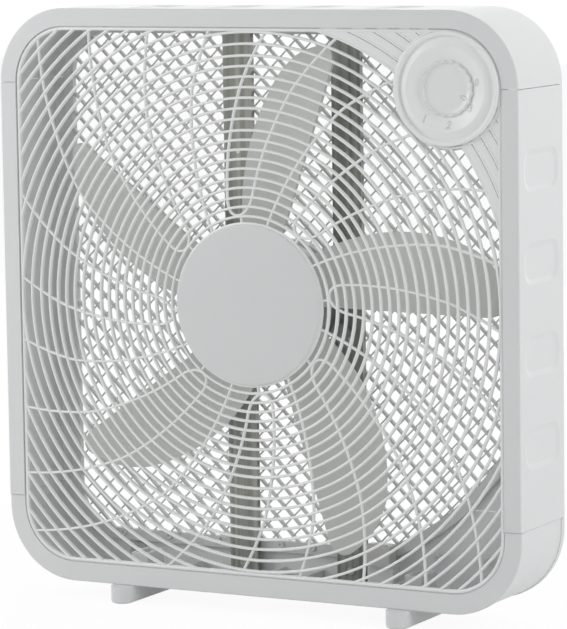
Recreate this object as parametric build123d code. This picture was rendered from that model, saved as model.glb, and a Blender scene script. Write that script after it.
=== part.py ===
from build123d import *
import math
import os

# A box fan, in millimetres. Every piece is drawn in the fan's own front view: x to the right, y up,
# z towards the viewer, with the rotor axis through the origin and z = 0 at the middle of the case's depth.
# PLACE stands the pieces on the floor: +Z up, front towards -Y, origin on the floor below the axis.

# Case
FRAME_WIDTH = 524.0
FRAME_HEIGHT = 530.0
FRAME_DEPTH = 94.0
CORNER_RADIUS = 68.0
WALL = 3.0
FLANGE = 2.6
EDGE_ROUND = 1.4
AXIS_ABOVE_BOTTOM = 266.5
BEZEL = 16.0
BASE_BEZEL = 18.0
TOP_COVER_HEIGHT = 68.0
BASE_HEIGHT = 77.0
SEAM_GAP = 0.5
BASE_SEAM_GAP = 0.6
BASE_SET_BACK = 1.2
BASE_BAND = 7.0
BASE_STEP = 1.0

# Tongues that tie the covers to the side panels
TONGUE_DEPTH = 22.0
TONGUE_REACH = 14.0
TONGUE_ROOT = 9.0
TONGUE_THICKNESS = 2.2
TONGUE_BITE = 1.6
TONGUE_OFFSET = 24.0

# Shallow finger pads on the sides and the top
PAD_COUNT = 4
PAD_PITCH = 81.0
PAD_WIDTH = 37.0
PAD_LENGTH = 72.0
PAD_RADIUS = 14.0
PAD_RECESS = 1.4
PAD_SLOPE = 5.0

# Smallest gap of a grille that is left open
LEAST_GAP = 3.0

# Rear window and rear grille
REAR_FLANGE = 20.0
REAR_SILL = 30.0
REAR_CORNER = 46.0
GUSSET_RADIUS = 251.0
GRILLE_LAP = 5.0
LATTICE_BORDER = 6.0
LATTICE_PITCH = 12.7
LATTICE_BAR = 1.8
LATTICE_ANGLE = 45.0
LATTICE_DEPTH = 6.4
LATTICE_REAR_LAYER = 2.0
GRILLE_BOSS_RADIUS = 5.0
GRILLE_BOSS_ROW = 130.5

# Front grille
GRILLE_GAP = 0.8
RIM_WIDTH = 3.2
LIP_REACH = 5.0
LIP_DEPTH = 2.4
RING_WIDTH = 2.4
RING_DEPTH = 3.6
RING_SET_BACK = 1.0
DOME_RADIUS = 253.7
INNER_RING_RADIUS = 79.7
INNER_RING_PITCH = 8.5
INNER_RING_COUNT = 10
MIDDLE_RING_RADIUS = 166.4
MIDDLE_RING_PITCH = 9.35
MIDDLE_RING_COUNT = 7
OUTER_RING_RADIUS = 232.9
OUTER_RING_PITCH = 10.4
RIB_COUNT = 24
RIB_GROUP = 3
RIB_WIDTH = 2.2
RIB_SWIRL = 0.104
RIB_OUTER_RADIUS = 197.0
RIB_OUTER_SWIRL = 0.0265
SINGLE_RIB_OUTER_SWIRL = 0.047
RIB_START_ANGLE = 30.5
RIB_LEG_RADIUS = 93.0
RIB_TO_HUB_RADIUS = 72.0
U_BEND_RADIUS = 81.0

# Hub disc
HUB_SEAT_RADIUS = 73.5
HUB_DISC_RADIUS = 72.6
HUB_DISC_DEPTH = 3.0
HUB_DISC_ROUND = 1.2

# Dial dish, switch and knob
DISH_INSET = 2.0
DISH_LIP = 3.4
DISH_GROOVE = 1.6
DISH_STEP = 2.6
DISH_BAND = 7.5
DISH_SLOPE = 8.5
DISH_PROUD = 3.0
DISH_DEPTH = 6.0
DISH_WELL_DEPTH = 11.0
DISH_WALL = 2.2
DISH_FLANGE = 4.0
DISH_GAP = 0.4
COLLAR_WIDTH = 2.2
KNOB_RADIUS = 24.2
KNOB_FACE_RADIUS = 21.5
KNOB_FACE_SINK = 2.6
KNOB_SCALLOPS = 20
KNOB_SCALLOP_RADIUS = 2.6
KNOB_SCALLOP_OUTSET = 1.6
KNOB_BELOW_RIM = 2.4
KNOB_SIDE_GAP = 0.8
KNOB_FLOOR_GAP = 0.8
KNOB_WALL = 2.4
KNOB_BOSS_RADIUS = 6.0
POINTER_LENGTH = 7.0
POINTER_WIDTH = 3.2
POINTER_RISE = 0.7
POINTER_ANGLE = -40.0
SWITCH_SHAFT_RADIUS = 3.0
SHAFT_GAP = 0.05
BUSHING_RADIUS = 4.5
SWITCH_SIZE = 30.0
SWITCH_DEPTH = 17.0
SWITCH_WALL = 5.0
TERMINAL_LENGTH = 5.0
TERMINAL_WIDTH = 4.4
SWITCH_NUT_FLATS = 14.0
SWITCH_NUT_DEPTH = 3.0

# Struts
STRUT_SPACING = 111.6
STRUT_WIDTH = 29.0
STRUT_DEPTH = 6.0
STRUT_SHEET = 1.0
STRUT_END_GAP = 3.0
STRUT_REAR_GAP = 1.0
STRUT_BOSS_GAP = 0.3
STRUT_BOSS_HEIGHT = 19.0
STRUT_SCREW_HEIGHT = 12.0

# Screws
SCREW_RADIUS = 2.0
SCREW_HEAD_RADIUS = 4.0
SCREW_HEAD_DEPTH = 2.2
SCREW_BITE = 6.0

# Motor
MOTOR_RADIUS = 52.0
MOTOR_WALL = 2.5
BELL_DEPTH = 10.0
STATOR_DEPTH = 14.0
STATOR_BORE = 26.5
STATOR_SLOTS = 8
STATOR_SLOT_RADIUS = 3.6
STATOR_SLOT_CIRCLE = 36.0
WINDING_GAP = 0.4
WINDING_DEPTH = 5.0
EAR_DEPTH = 3.0
EAR_RADIUS = 8.0
EAR_ROW = 38.0
ROTOR_AIR_GAP = 0.5
SHAFT_RADIUS = 4.0
BEARING_RADIUS = 8.0
BEARING_LENGTH = 8.0
BEARING_BOSS_WALL = 3.5
BEARING_BOSS_PROUD = 4.0

# Impeller
BLADE_COUNT = 5
BLADE_TIP_RADIUS = 240.0
BLADE_TIP_SPAN = 9.0
BLADE_MIDDLE_RADIUS = 150.0
BLADE_MIDDLE_SPAN = 27.0
BLADE_ROOT_RADIUS = 36.0
BLADE_ROOT_SPAN = 54.0
BLADE_TIP_ROUND = 12.0
BLADE_SHOULDER_ROUND = 26.0
BLADE_THICKNESS = 2.4
BLADE_CHORD = 74.0
BLADE_RISE = 26.0
BLADE_CAMBER = 6.0
BLADE_ANGLE = -1.0
IMPELLER_HUB_RADIUS = 41.0
IMPELLER_HUB_DEPTH = 26.0
IMPELLER_HUB_ROUND = 4.0
IMPELLER_GAP = 1.2
NUT_FLATS = 13.0
NUT_DEPTH = 6.5
NUT_POCKET_RADIUS = 13.0
SHAFT_END_PROUD = 3.0

# Feet
FOOT_SPACING = 283.0
FOOT_WIDTH = 21.5
FOOT_HEIGHT = 16.0
FOOT_LENGTH = 115.0
FOOT_ROUND = 3.0
PEG_WIDTH = 12.0
PEG_LENGTH = 26.0
PEG_HEIGHT = 12.0
PEG_GAP = 0.3
SOCKET_WALL = 2.0
SOCKET_HEIGHT = 22.0

# Stiffening ribs on the floor of the base
FLOOR_RIB_THICKNESS = 2.0
FLOOR_RIB_LENGTH = 380.0
FLOOR_RIB_HEIGHT = 12.0
FLOOR_RIB_LEVEL = 24.0
CROSS_RIB_HEIGHT = 8.0
CROSS_RIB_PLACES = (-105.0, -20.0, 20.0, 112.0)

# Run capacitor on its ledge, and the gland where a lead would come in
CAPACITOR_LENGTH = 26.0
CAPACITOR_WIDTH = 15.0
CAPACITOR_HEIGHT = 20.0
CAPACITOR_ROUND = 4.0
CAPACITOR_X = 86.0
LEDGE_HEIGHT = 20.0
GLAND_X = -176.0
GLAND_HEIGHT = 13.5
GLAND_HOLE_RADIUS = 6.5
GLAND_COLLAR_RADIUS = 9.5
GLAND_BORE_RADIUS = 4.0
GLAND_COLLAR_DEPTH = 2.0

# Levels that follow from the sizes above
HALF_WIDTH = FRAME_WIDTH / 2
FRONT = FRAME_DEPTH / 2
REAR = -FRAME_DEPTH / 2
BOTTOM = -AXIS_ABOVE_BOTTOM
TOP = FRAME_HEIGHT - AXIS_ABOVE_BOTTOM
TOP_SEAM = TOP - TOP_COVER_HEIGHT
BASE_SEAM = BOTTOM + BASE_HEIGHT
BEZEL_BACK = FRONT - FLANGE
REAR_FLANGE_FRONT = REAR + FLANGE
LATTICE_MIDDLE = REAR_FLANGE_FRONT + LATTICE_REAR_LAYER
LATTICE_FRONT = REAR_FLANGE_FRONT + LATTICE_DEPTH
LIP_BACK = BEZEL_BACK - LIP_DEPTH
RING_FRONT = FRONT - RING_SET_BACK
RING_BACK = RING_FRONT - RING_DEPTH
HUB_FRONT = FOOT_LENGTH / 2
HUB_SEAT_FRONT = HUB_FRONT - HUB_DISC_DEPTH
DISH_RADIUS = CORNER_RADIUS - BEZEL - DISH_INSET
DISH_CREST_RADIUS = DISH_RADIUS - DISH_LIP - DISH_GROOVE - DISH_BAND
DISH_FLOOR_RADIUS = DISH_CREST_RADIUS - DISH_SLOPE
DISH_X = HALF_WIDTH - CORNER_RADIUS
DISH_Y = TOP - CORNER_RADIUS
DISH_FRONT = FRONT + DISH_PROUD
DISH_FLOOR = DISH_FRONT - DISH_DEPTH
DISH_WELL = DISH_FLOOR - DISH_WELL_DEPTH
DISH_WELL_RADIUS = KNOB_RADIUS + KNOB_SIDE_GAP
DISH_BACK = DISH_WELL - DISH_WALL
KNOB_FRONT = DISH_FRONT - KNOB_BELOW_RIM
KNOB_FACE = KNOB_FRONT - KNOB_FACE_SINK
KNOB_CEILING = KNOB_FACE - KNOB_WALL
SWITCH_NUT_FRONT = DISH_WELL + SWITCH_NUT_DEPTH
KNOB_BACK = DISH_WELL + KNOB_FLOOR_GAP
STRUT_X = STRUT_SPACING / 2
STRUT_BACK = LATTICE_FRONT + STRUT_REAR_GAP
STRUT_FRONT = STRUT_BACK + STRUT_DEPTH
WEB_BACK = STRUT_FRONT - STRUT_SHEET
MOTOR_BACK = STRUT_FRONT
STATOR_BACK = MOTOR_BACK + BELL_DEPTH
STATOR_FRONT = STATOR_BACK + STATOR_DEPTH
MOTOR_FRONT = STATOR_FRONT + BELL_DEPTH
BOSS_FRONT = MOTOR_FRONT + BEARING_BOSS_PROUD
BOSS_BACK = MOTOR_BACK - BEARING_BOSS_PROUD
IMPELLER_BACK = BOSS_FRONT + IMPELLER_GAP
IMPELLER_FRONT = IMPELLER_BACK + IMPELLER_HUB_DEPTH
NUT_BACK = IMPELLER_FRONT - NUT_DEPTH
CAVITY_BOTTOM = BOTTOM + WALL
CAVITY_TOP = TOP - WALL
FOOT_X = FOOT_SPACING / 2
FAR = FRAME_WIDTH + FRAME_HEIGHT
STAND = (Align.CENTER, Align.CENTER, Align.MIN)

PLACE = Plane(origin=(0, 0, AXIS_ABOVE_BOTTOM + FOOT_HEIGHT), x_dir=(1, 0, 0), z_dir=(0, -1, 0)).location


def polar(radius, degrees):
    """A point of the front view at a radius and an angle from the rotor axis."""
    return (radius * math.cos(math.radians(degrees)), radius * math.sin(math.radians(degrees)))


def slab(sketch, low, high):
    """A front-view sketch made solid between two depths."""
    return Pos(0, 0, low) * extrude(sketch, amount=high - low)


def disc(radius, low, high, x=0.0, y=0.0):
    """A round bar along the depth, centred at x, y."""
    return slab(Pos(x, y) * Circle(radius), low, high)


def tube(outer, inner, low, high, x=0.0, y=0.0):
    """A round tube along the depth, centred at x, y."""
    return slab(Pos(x, y) * (Circle(outer) - Circle(inner)), low, high)


def block(x_low, x_high, y_low, y_high, z_low, z_high):
    """A box between two corners."""
    size = (x_high - x_low, y_high - y_low, z_high - z_low)
    return Pos(x_low, y_low, z_low) * Box(*size, align=(Align.MIN, Align.MIN, Align.MIN))


def rounded(x_low, x_high, y_low, y_high, radius):
    """A rounded rectangle of the front view between two corners."""
    middle = Pos((x_low + x_high) / 2, (y_low + y_high) / 2)
    return middle * RectangleRounded(x_high - x_low, y_high - y_low, radius)


def case_outline(inset):
    """The case's front outline, drawn in by an inset."""
    x = HALF_WIDTH - inset
    return rounded(-x, x, BOTTOM + inset, TOP - inset, CORNER_RADIUS - inset)


def front_window(inset):
    """The opening inside the bezel, drawn in by an inset."""
    x = HALF_WIDTH - BEZEL - inset
    low = BOTTOM + BASE_BEZEL + inset
    return rounded(-x, x, low, TOP - BEZEL - inset, CORNER_RADIUS - BEZEL - inset)


def rear_window(inset):
    """The rear opening, whose lower right corner follows a circle about the axis."""
    x = HALF_WIDTH - REAR_FLANGE - inset
    box = rounded(-x, x, BOTTOM + REAR_SILL + inset, TOP - REAR_FLANGE - inset, REAR_CORNER - inset)
    corner = Pos(FAR / 2, -FAR / 2) * Rectangle(FAR, FAR) - Circle(GUSSET_RADIUS - inset)
    return box - corner


def screw(x, y, head_back, facing, length):
    """A pan-head screw along the depth; its head rests at head_back and faces +1 front or -1 rear."""
    head = disc(SCREW_HEAD_RADIUS, 0, SCREW_HEAD_DEPTH)
    head = fillet(head.edges().group_by(Axis.Z)[-1], SCREW_HEAD_DEPTH / 2)
    shank = disc(SCREW_RADIUS, -length, 0)
    turn = Rot(0, 0 if facing > 0 else 180, 0)
    return Pos(x, y, head_back) * turn * (head + shank)


def pad_places():
    """The finger pads' places along a side, about its middle."""
    first = -PAD_PITCH * (PAD_COUNT - 1) / 2
    return [first + PAD_PITCH * index for index in range(PAD_COUNT)]


def strut_places():
    """The two struts' places across the case."""
    return (-STRUT_X, STRUT_X)


def make_pad(plane):
    """A finger pad cut into a wall: full size on the plane and smaller at its depth, behind it."""
    outer = plane * RectangleRounded(PAD_WIDTH, PAD_LENGTH, PAD_RADIUS)
    floor = RectangleRounded(PAD_WIDTH - 2 * PAD_SLOPE, PAD_LENGTH - 2 * PAD_SLOPE, PAD_RADIUS - PAD_SLOPE)
    return loft([outer, plane.offset(-PAD_RECESS) * floor], ruled=True)


def make_case(front):
    """The whole case shell up to a front, with its bezel, its rear flange and the windows in them."""
    shell = slab(case_outline(0), REAR, front)
    shell = fillet(shell.edges().group_by(Axis.Z)[-1], EDGE_ROUND)
    shell = fillet(shell.edges().group_by(Axis.Z)[0], EDGE_ROUND)
    shell -= slab(case_outline(WALL), REAR_FLANGE_FRONT, BEZEL_BACK)
    shell -= slab(front_window(0), BEZEL_BACK, front)
    shell -= slab(rear_window(0), REAR, REAR_FLANGE_FRONT)
    side_middle = (TOP_SEAM + BASE_SEAM) / 2
    right = Plane(origin=(HALF_WIDTH, side_middle, 0), x_dir=(0, 1, 0), z_dir=(1, 0, 0))
    left = Plane(origin=(-HALF_WIDTH, side_middle, 0), x_dir=(0, 1, 0), z_dir=(-1, 0, 0))
    top = Plane(origin=(0, TOP, 0), x_dir=(1, 0, 0), z_dir=(0, 1, 0))
    pads = []
    for place in pad_places():
        pads += [Pos(0, place) * make_pad(right), Pos(0, place) * make_pad(left)]
        pads.append(Pos(place, 0) * make_pad(top))
    return shell - pads


def make_tongue(side, seam, gap, direction):
    """A tongue on a cover that reaches past its seam and gap along the side panel's inner face."""
    inner = HALF_WIDTH - WALL
    low = seam - direction * TONGUE_REACH
    high = seam + direction * (gap / 2 + TONGUE_ROOT)
    start = seam + direction * gap / 2
    blade = (inner - TONGUE_THICKNESS, inner, min(low, high), max(low, high))
    root = (inner - TONGUE_THICKNESS, inner + TONGUE_BITE, min(start, high), max(start, high))
    pieces = []
    for place in (-TONGUE_OFFSET, TONGUE_OFFSET):
        for x_low, x_high, y_low, y_high in (blade, root):
            depth = (place - TONGUE_DEPTH / 2, place + TONGUE_DEPTH / 2)
            left, right = sorted((side * x_low, side * x_high))
            pieces.append(block(left, right, y_low, y_high, *depth))
    return pieces


def make_strut_boss(x, wall_level, direction):
    """A boss that stands on a cover's wall inside a strut's channel and takes its end screw."""
    half = STRUT_WIDTH / 2 - STRUT_SHEET - STRUT_BOSS_GAP
    edge = wall_level + direction * STRUT_BOSS_HEIGHT
    screw_level = wall_level + direction * STRUT_SCREW_HEIGHT
    boss = block(x - half, x + half, min(wall_level, edge), max(wall_level, edge), STRUT_BACK, WEB_BACK)
    return boss - disc(SCREW_RADIUS, WEB_BACK - SCREW_BITE, WEB_BACK, x, screw_level)


def make_top_cover(case):
    """The upper U of the case, with its tongues and the bosses for the struts."""
    cover = case & block(-FAR, FAR, TOP_SEAM + SEAM_GAP / 2, FAR, REAR, FRONT)
    parts = [make_strut_boss(x, CAVITY_TOP, -1) for x in strut_places()]
    for side in (-1, 1):
        parts += make_tongue(side, TOP_SEAM, SEAM_GAP, 1)
    return cover + parts


def make_floor_ribs():
    """The low ribs on the floor of the base: one from side to side and some to the rear flange."""
    half = FLOOR_RIB_THICKNESS / 2
    reach = FLOOR_RIB_LENGTH / 2
    top = CAVITY_BOTTOM + FLOOR_RIB_HEIGHT
    ribs = [block(-reach, reach, CAVITY_BOTTOM, top, FLOOR_RIB_LEVEL - half, FLOOR_RIB_LEVEL + half)]
    top = CAVITY_BOTTOM + CROSS_RIB_HEIGHT
    ends = (REAR_FLANGE_FRONT, FLOOR_RIB_LEVEL)
    return ribs + [block(x - half, x + half, CAVITY_BOTTOM, top, *ends) for x in CROSS_RIB_PLACES]


def make_bottom_base(case):
    """The lower U of the case, with tongues, strut bosses, foot sockets, ribs, ledge and gland hole."""
    base = case & block(-FAR, FAR, -FAR, BASE_SEAM - BASE_SEAM_GAP / 2, REAR, FRONT)
    base -= slab(case_outline(-BASE_STEP) - case_outline(BASE_STEP), REAR + BASE_BAND, FRONT - BASE_BAND)
    parts = [make_strut_boss(x, CAVITY_BOTTOM, 1) for x in strut_places()] + make_floor_ribs()
    for side in (-1, 1):
        parts += make_tongue(side, BASE_SEAM, BASE_SEAM_GAP, -1)
    half_wide = PEG_WIDTH / 2 + PEG_GAP
    half_long = PEG_LENGTH / 2 + PEG_GAP
    for x in (-FOOT_X, FOOT_X):
        walls = (x - half_wide - SOCKET_WALL, x + half_wide + SOCKET_WALL)
        ends = (-half_long - SOCKET_WALL, half_long + SOCKET_WALL)
        parts.append(block(*walls, CAVITY_BOTTOM, CAVITY_BOTTOM + SOCKET_HEIGHT, *ends))
    half = CAPACITOR_LENGTH / 2
    ledge_front = REAR_FLANGE_FRONT + CAPACITOR_WIDTH
    ledge = (CAPACITOR_X - half, CAPACITOR_X + half, CAVITY_BOTTOM, CAVITY_BOTTOM + LEDGE_HEIGHT)
    parts.append(block(*ledge, REAR_FLANGE_FRONT, ledge_front))
    base += parts
    for x in (-FOOT_X, FOOT_X):
        base -= block(x - half_wide, x + half_wide, BOTTOM, CAVITY_BOTTOM + SOCKET_HEIGHT, -half_long, half_long)
    return base - disc(GLAND_HOLE_RADIUS, REAR, REAR_FLANGE_FRONT, GLAND_X, BOTTOM + GLAND_HEIGHT)


def make_side_panel(case, side):
    """A side of the case between the two seams."""
    low, high = sorted((side * HALF_WIDTH, 0))
    return case & block(low, high, BASE_SEAM + BASE_SEAM_GAP / 2, TOP_SEAM - SEAM_GAP / 2, REAR, FRONT)


def ring_radii():
    """The rings' middle radii, in three zones of pitch, the last one just past the window's corners."""
    corner = math.hypot(DISH_X, DISH_Y) + CORNER_RADIUS - BEZEL
    radii = [INNER_RING_RADIUS + INNER_RING_PITCH * index for index in range(INNER_RING_COUNT)]
    radii += [MIDDLE_RING_RADIUS + MIDDLE_RING_PITCH * index for index in range(MIDDLE_RING_COUNT)]
    outer_count = math.ceil((corner - OUTER_RING_RADIUS) / OUTER_RING_PITCH) + 1
    return radii + [OUTER_RING_RADIUS + OUTER_RING_PITCH * index for index in range(outer_count)]


def rib_angle(radius, single=False):
    """How far a rib has swirled at a radius, from its direction at the hub; outside it turns faster."""
    outer = SINGLE_RIB_OUTER_SWIRL if single else RIB_OUTER_SWIRL
    return -RIB_SWIRL * (radius - RIB_TO_HUB_RADIUS) - outer * max(0, radius - RIB_OUTER_RADIUS)


def rib_face(start, end, direction):
    """The front view of one rib between two radii, swirled along an arc."""
    middle = (start + end) / 2
    points = [polar(radius, direction + rib_angle(radius)) for radius in (start, middle, end)]
    return SlotArc(ThreePointArc(*points), RIB_WIDTH)


def gap_wire(inner, outer, right, left):
    """The outline of one gap between two neighbouring rings and two neighbouring ribs."""
    low = inner + RING_WIDTH / 2
    high = outer - RING_WIDTH / 2
    group = 360 * RIB_GROUP / RIB_COUNT
    edges = []
    for radius in (low, high):
        half_rib = math.degrees(math.asin(RIB_WIDTH / 2 / radius))
        from_right = right + rib_angle(radius, right == 0) + half_rib
        edges.append((from_right, left + rib_angle(radius, left == group) - half_rib))
    near = [polar(low, edges[0][0]), polar(low, sum(edges[0]) / 2), polar(low, edges[0][1])]
    far = [polar(high, edges[1][0]), polar(high, sum(edges[1]) / 2), polar(high, edges[1][1])]
    lines = [ThreePointArc(*near), Line(near[2], far[2]), ThreePointArc(*far), Line(far[0], near[0])]
    return Wire(lines)


def rib_directions(inner, outer):
    """Where the ribs of one group start, seen from the hub, for the row of gaps between two rings."""
    step = 360 / RIB_COUNT
    group = RIB_GROUP * step
    if outer < U_BEND_RADIUS:
        return [0, group / 2 + rib_angle(RIB_LEG_RADIUS), group]
    if inner < RIB_LEG_RADIUS:
        return [0, group]
    return [step * index for index in range(RIB_GROUP + 1)]


def make_u_bend():
    """The front view of the bend that joins two ribs of a group before they reach the hub."""
    step = 360 / RIB_COUNT
    swirl = rib_angle(RIB_LEG_RADIUS)
    start, end = [polar(RIB_LEG_RADIUS, step * leg + swirl) for leg in (1, 2)]
    turning = polar(U_BEND_RADIUS, step * RIB_GROUP / 2 + swirl)
    bend = SlotArc(ThreePointArc(start, turning, end), RIB_WIDTH)
    return bend + [rib_face(RIB_LEG_RADIUS, RIB_LEG_RADIUS + INNER_RING_PITCH, step * leg) for leg in (1, 2)]


def front_gaps():
    """The outlines of all gaps of the front grille, before they are fitted to the window."""
    radii = [HUB_SEAT_RADIUS - RING_WIDTH / 2] + ring_radii()
    bend = make_u_bend()
    wires = []
    for inner, outer in zip(radii, radii[1:]):
        directions = rib_directions(inner, outer)
        for right, left in zip(directions, directions[1:]):
            gap = gap_wire(inner, outer, right, left)
            if inner < RIB_LEG_RADIUS and outer > U_BEND_RADIUS:
                wires += [face.outer_wire() for face in (make_face(gap) - bend).faces()]
            else:
                wires.append(gap)
    group = 360 * RIB_GROUP / RIB_COUNT
    turns = [RIB_START_ANGLE + group * index for index in range(RIB_COUNT // RIB_GROUP)]
    return [Rot(0, 0, turn) * wire for turn in turns for wire in wires]


def fit_gaps(wires, region):
    """The gaps that lie inside a region, with those on its edge cut to it and slivers left out."""
    face = region.face()
    fitted = []
    for wire in wires:
        corners = [face.is_inside(tuple(vertex)) for vertex in wire.vertices()]
        if all(corners):
            fitted.append(wire)
        elif any(corners):
            pieces = (region & make_face(wire)).faces()
            fitted += [piece.outer_wire() for piece in pieces if piece.area > LEAST_GAP ** 2]
    return fitted


def make_front_grille():
    """Rings and swirled ribs on a shallow cone, the hub seat, and the solid corner around the dial."""
    hole = Pos(DISH_X, DISH_Y) * Circle(DISH_RADIUS + DISH_GAP)
    collar = Pos(DISH_X, DISH_Y) * Circle(DISH_RADIUS + DISH_GAP + COLLAR_WIDTH)
    panel = Pos(FAR / 2, FAR / 2) * Rectangle(FAR, FAR) - Circle(DOME_RADIUS)
    region = front_window(GRILLE_GAP + RIM_WIDTH) - panel - collar
    gaps = fit_gaps(front_gaps(), region) + [hole.wire()]
    plan = Face(front_window(-LIP_REACH).face().outer_wire(), gaps)
    layer = Polyline(
        (0, HUB_SEAT_FRONT), (HUB_SEAT_RADIUS, HUB_SEAT_FRONT), (DOME_RADIUS, RING_FRONT), (FAR, RING_FRONT),
        (FAR, RING_BACK), (DOME_RADIUS, RING_BACK), (HUB_SEAT_RADIUS, HUB_SEAT_FRONT - RING_DEPTH),
        (0, HUB_SEAT_FRONT - RING_DEPTH), close=True)
    dome = revolve(Plane.XZ * make_face(layer), axis=Axis.Z) & slab(front_window(GRILLE_GAP), REAR, FAR)
    lip = front_window(-LIP_REACH) - front_window(GRILLE_GAP + RIM_WIDTH / 2)
    return slab(plan, LIP_BACK, HUB_FRONT) & (dome + slab(lip, LIP_BACK, BEZEL_BACK))


def make_hub_disc():
    """The plain round disc at the middle of the front grille."""
    plate = disc(HUB_DISC_RADIUS, HUB_SEAT_FRONT, HUB_SEAT_FRONT + HUB_DISC_DEPTH)
    return fillet(plate.edges().group_by(Axis.Z)[-1], HUB_DISC_ROUND)


def make_dial_dish():
    """The dial's cup: a flat rim, a groove, a band up to a crest, a bowl, and a well for the knob."""
    lip = DISH_RADIUS - DISH_LIP
    flange = DISH_RADIUS + DISH_FLANGE
    flange_back = LIP_BACK - DISH_WALL
    well = DISH_WELL_RADIUS
    under = well + DISH_WALL
    crest = DISH_CREST_RADIUS
    inner = DISH_RADIUS - DISH_WALL
    roof = DISH_FRONT - DISH_STEP - DISH_WALL
    outline = Polyline(
        (0, DISH_BACK), (under, DISH_BACK), (under, flange_back), (crest, flange_back), (crest, roof),
        (inner, roof), (inner, flange_back), (flange, flange_back), (flange, LIP_BACK),
        (DISH_RADIUS, LIP_BACK), (DISH_RADIUS, DISH_FRONT), (lip, DISH_FRONT),
        (lip - DISH_GROOVE, DISH_FRONT - DISH_STEP), (crest, DISH_FRONT), (DISH_FLOOR_RADIUS, DISH_FLOOR),
        (well, DISH_FLOOR), (well, DISH_WELL), (0, DISH_WELL), close=True)
    cup = revolve(Plane.XZ * make_face(outline), axis=Axis.Z)
    rim = cup.edges().filter_by(GeomType.CIRCLE).sort_by(lambda edge: abs(edge.radius - DISH_RADIUS))[:2]
    cup = fillet(rim.sort_by(Axis.Z)[-1], DISH_LIP / 4)
    return Pos(DISH_X, DISH_Y) * (cup - disc(BUSHING_RADIUS, DISH_BACK, DISH_WELL))


def make_rotary_switch():
    """The switch body behind the dish, with its threaded bushing and terminals."""
    half = SWITCH_SIZE / 2
    back = DISH_BACK - SWITCH_DEPTH
    body = slab(RectangleRounded(SWITCH_SIZE, SWITCH_SIZE, BUSHING_RADIUS), back, DISH_BACK)
    body += disc(BUSHING_RADIUS, DISH_BACK, SWITCH_NUT_FRONT)
    for x in (-half / 2, half / 2):
        for y in (-half / 2, half / 2):
            terminal = (x - TERMINAL_WIDTH / 2, x + TERMINAL_WIDTH / 2, y - STRUT_SHEET / 2, y + STRUT_SHEET / 2)
            body += block(*terminal, back - TERMINAL_LENGTH, back)
    bore = disc(SWITCH_SHAFT_RADIUS + SHAFT_GAP, back + SWITCH_WALL, SWITCH_NUT_FRONT)
    return Pos(DISH_X, DISH_Y) * (body - bore)


def make_switch_nut():
    """The hexagon nut that holds the switch's bushing in the bottom of the well."""
    hexagon = RegularPolygon(SWITCH_NUT_FLATS / 2, 6, major_radius=False) - Circle(BUSHING_RADIUS)
    return Pos(DISH_X, DISH_Y) * slab(hexagon, DISH_WELL, SWITCH_NUT_FRONT)


def make_switch_shaft():
    """The switch's turning shaft, from inside the switch to the knob's ceiling."""
    back = DISH_BACK - SWITCH_DEPTH + SWITCH_WALL + SHAFT_GAP
    return disc(SWITCH_SHAFT_RADIUS, back, KNOB_CEILING, DISH_X, DISH_Y)


def make_control_knob():
    """The knob: a scalloped crown around a sunken face with a pointer, a hollow back and a boss."""
    body = disc(KNOB_RADIUS, KNOB_BACK, KNOB_FRONT)
    groove = disc(KNOB_SCALLOP_RADIUS, KNOB_BACK, KNOB_FRONT, KNOB_RADIUS + KNOB_SCALLOP_OUTSET)
    step = 360 / KNOB_SCALLOPS
    body -= [Rot(0, 0, step * index) * groove for index in range(KNOB_SCALLOPS)]
    crown = KNOB_RADIUS - KNOB_SCALLOP_RADIUS + KNOB_SCALLOP_OUTSET
    sunk = Pos(0, 0, KNOB_FACE) * Cone(KNOB_FACE_RADIUS, crown, KNOB_FACE_SINK, align=STAND)
    hollow = tube(KNOB_FACE_RADIUS - KNOB_WALL, KNOB_BOSS_RADIUS, KNOB_BACK, KNOB_CEILING)
    body -= [sunk, hollow]
    boss = tube(KNOB_BOSS_RADIUS, SWITCH_SHAFT_RADIUS, SWITCH_NUT_FRONT + KNOB_FLOOR_GAP, KNOB_CEILING)
    body -= disc(KNOB_BOSS_RADIUS, KNOB_BACK, KNOB_CEILING)
    centre = KNOB_FACE_RADIUS - POINTER_LENGTH
    pointer = SlotCenterToCenter(POINTER_LENGTH - POINTER_WIDTH, POINTER_WIDTH)
    pointer = slab(Rot(0, 0, POINTER_ANGLE) * Pos(centre, 0) * pointer, KNOB_FACE, KNOB_FACE + POINTER_RISE)
    return Pos(DISH_X, DISH_Y) * (body + [boss, pointer])


def lattice_layer(region, turn, low, high):
    """One layer of the rear lattice: parallel bars at an angle, cut to a region, between two depths."""
    count = int(math.hypot(FRAME_WIDTH, FRAME_HEIGHT) / 2 / LATTICE_PITCH)
    least = 2 * LATTICE_PITCH * LATTICE_BAR
    bars = []
    for index in range(-count, count + 1):
        strip = Rot(0, 0, turn) * Pos(0, LATTICE_PITCH * index) * Rectangle(FAR, LATTICE_BAR)
        cut = region & strip
        if cut:
            bars += [slab(face, low, high).solid() for face in cut.faces() if face.area > least]
    return bars


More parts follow.
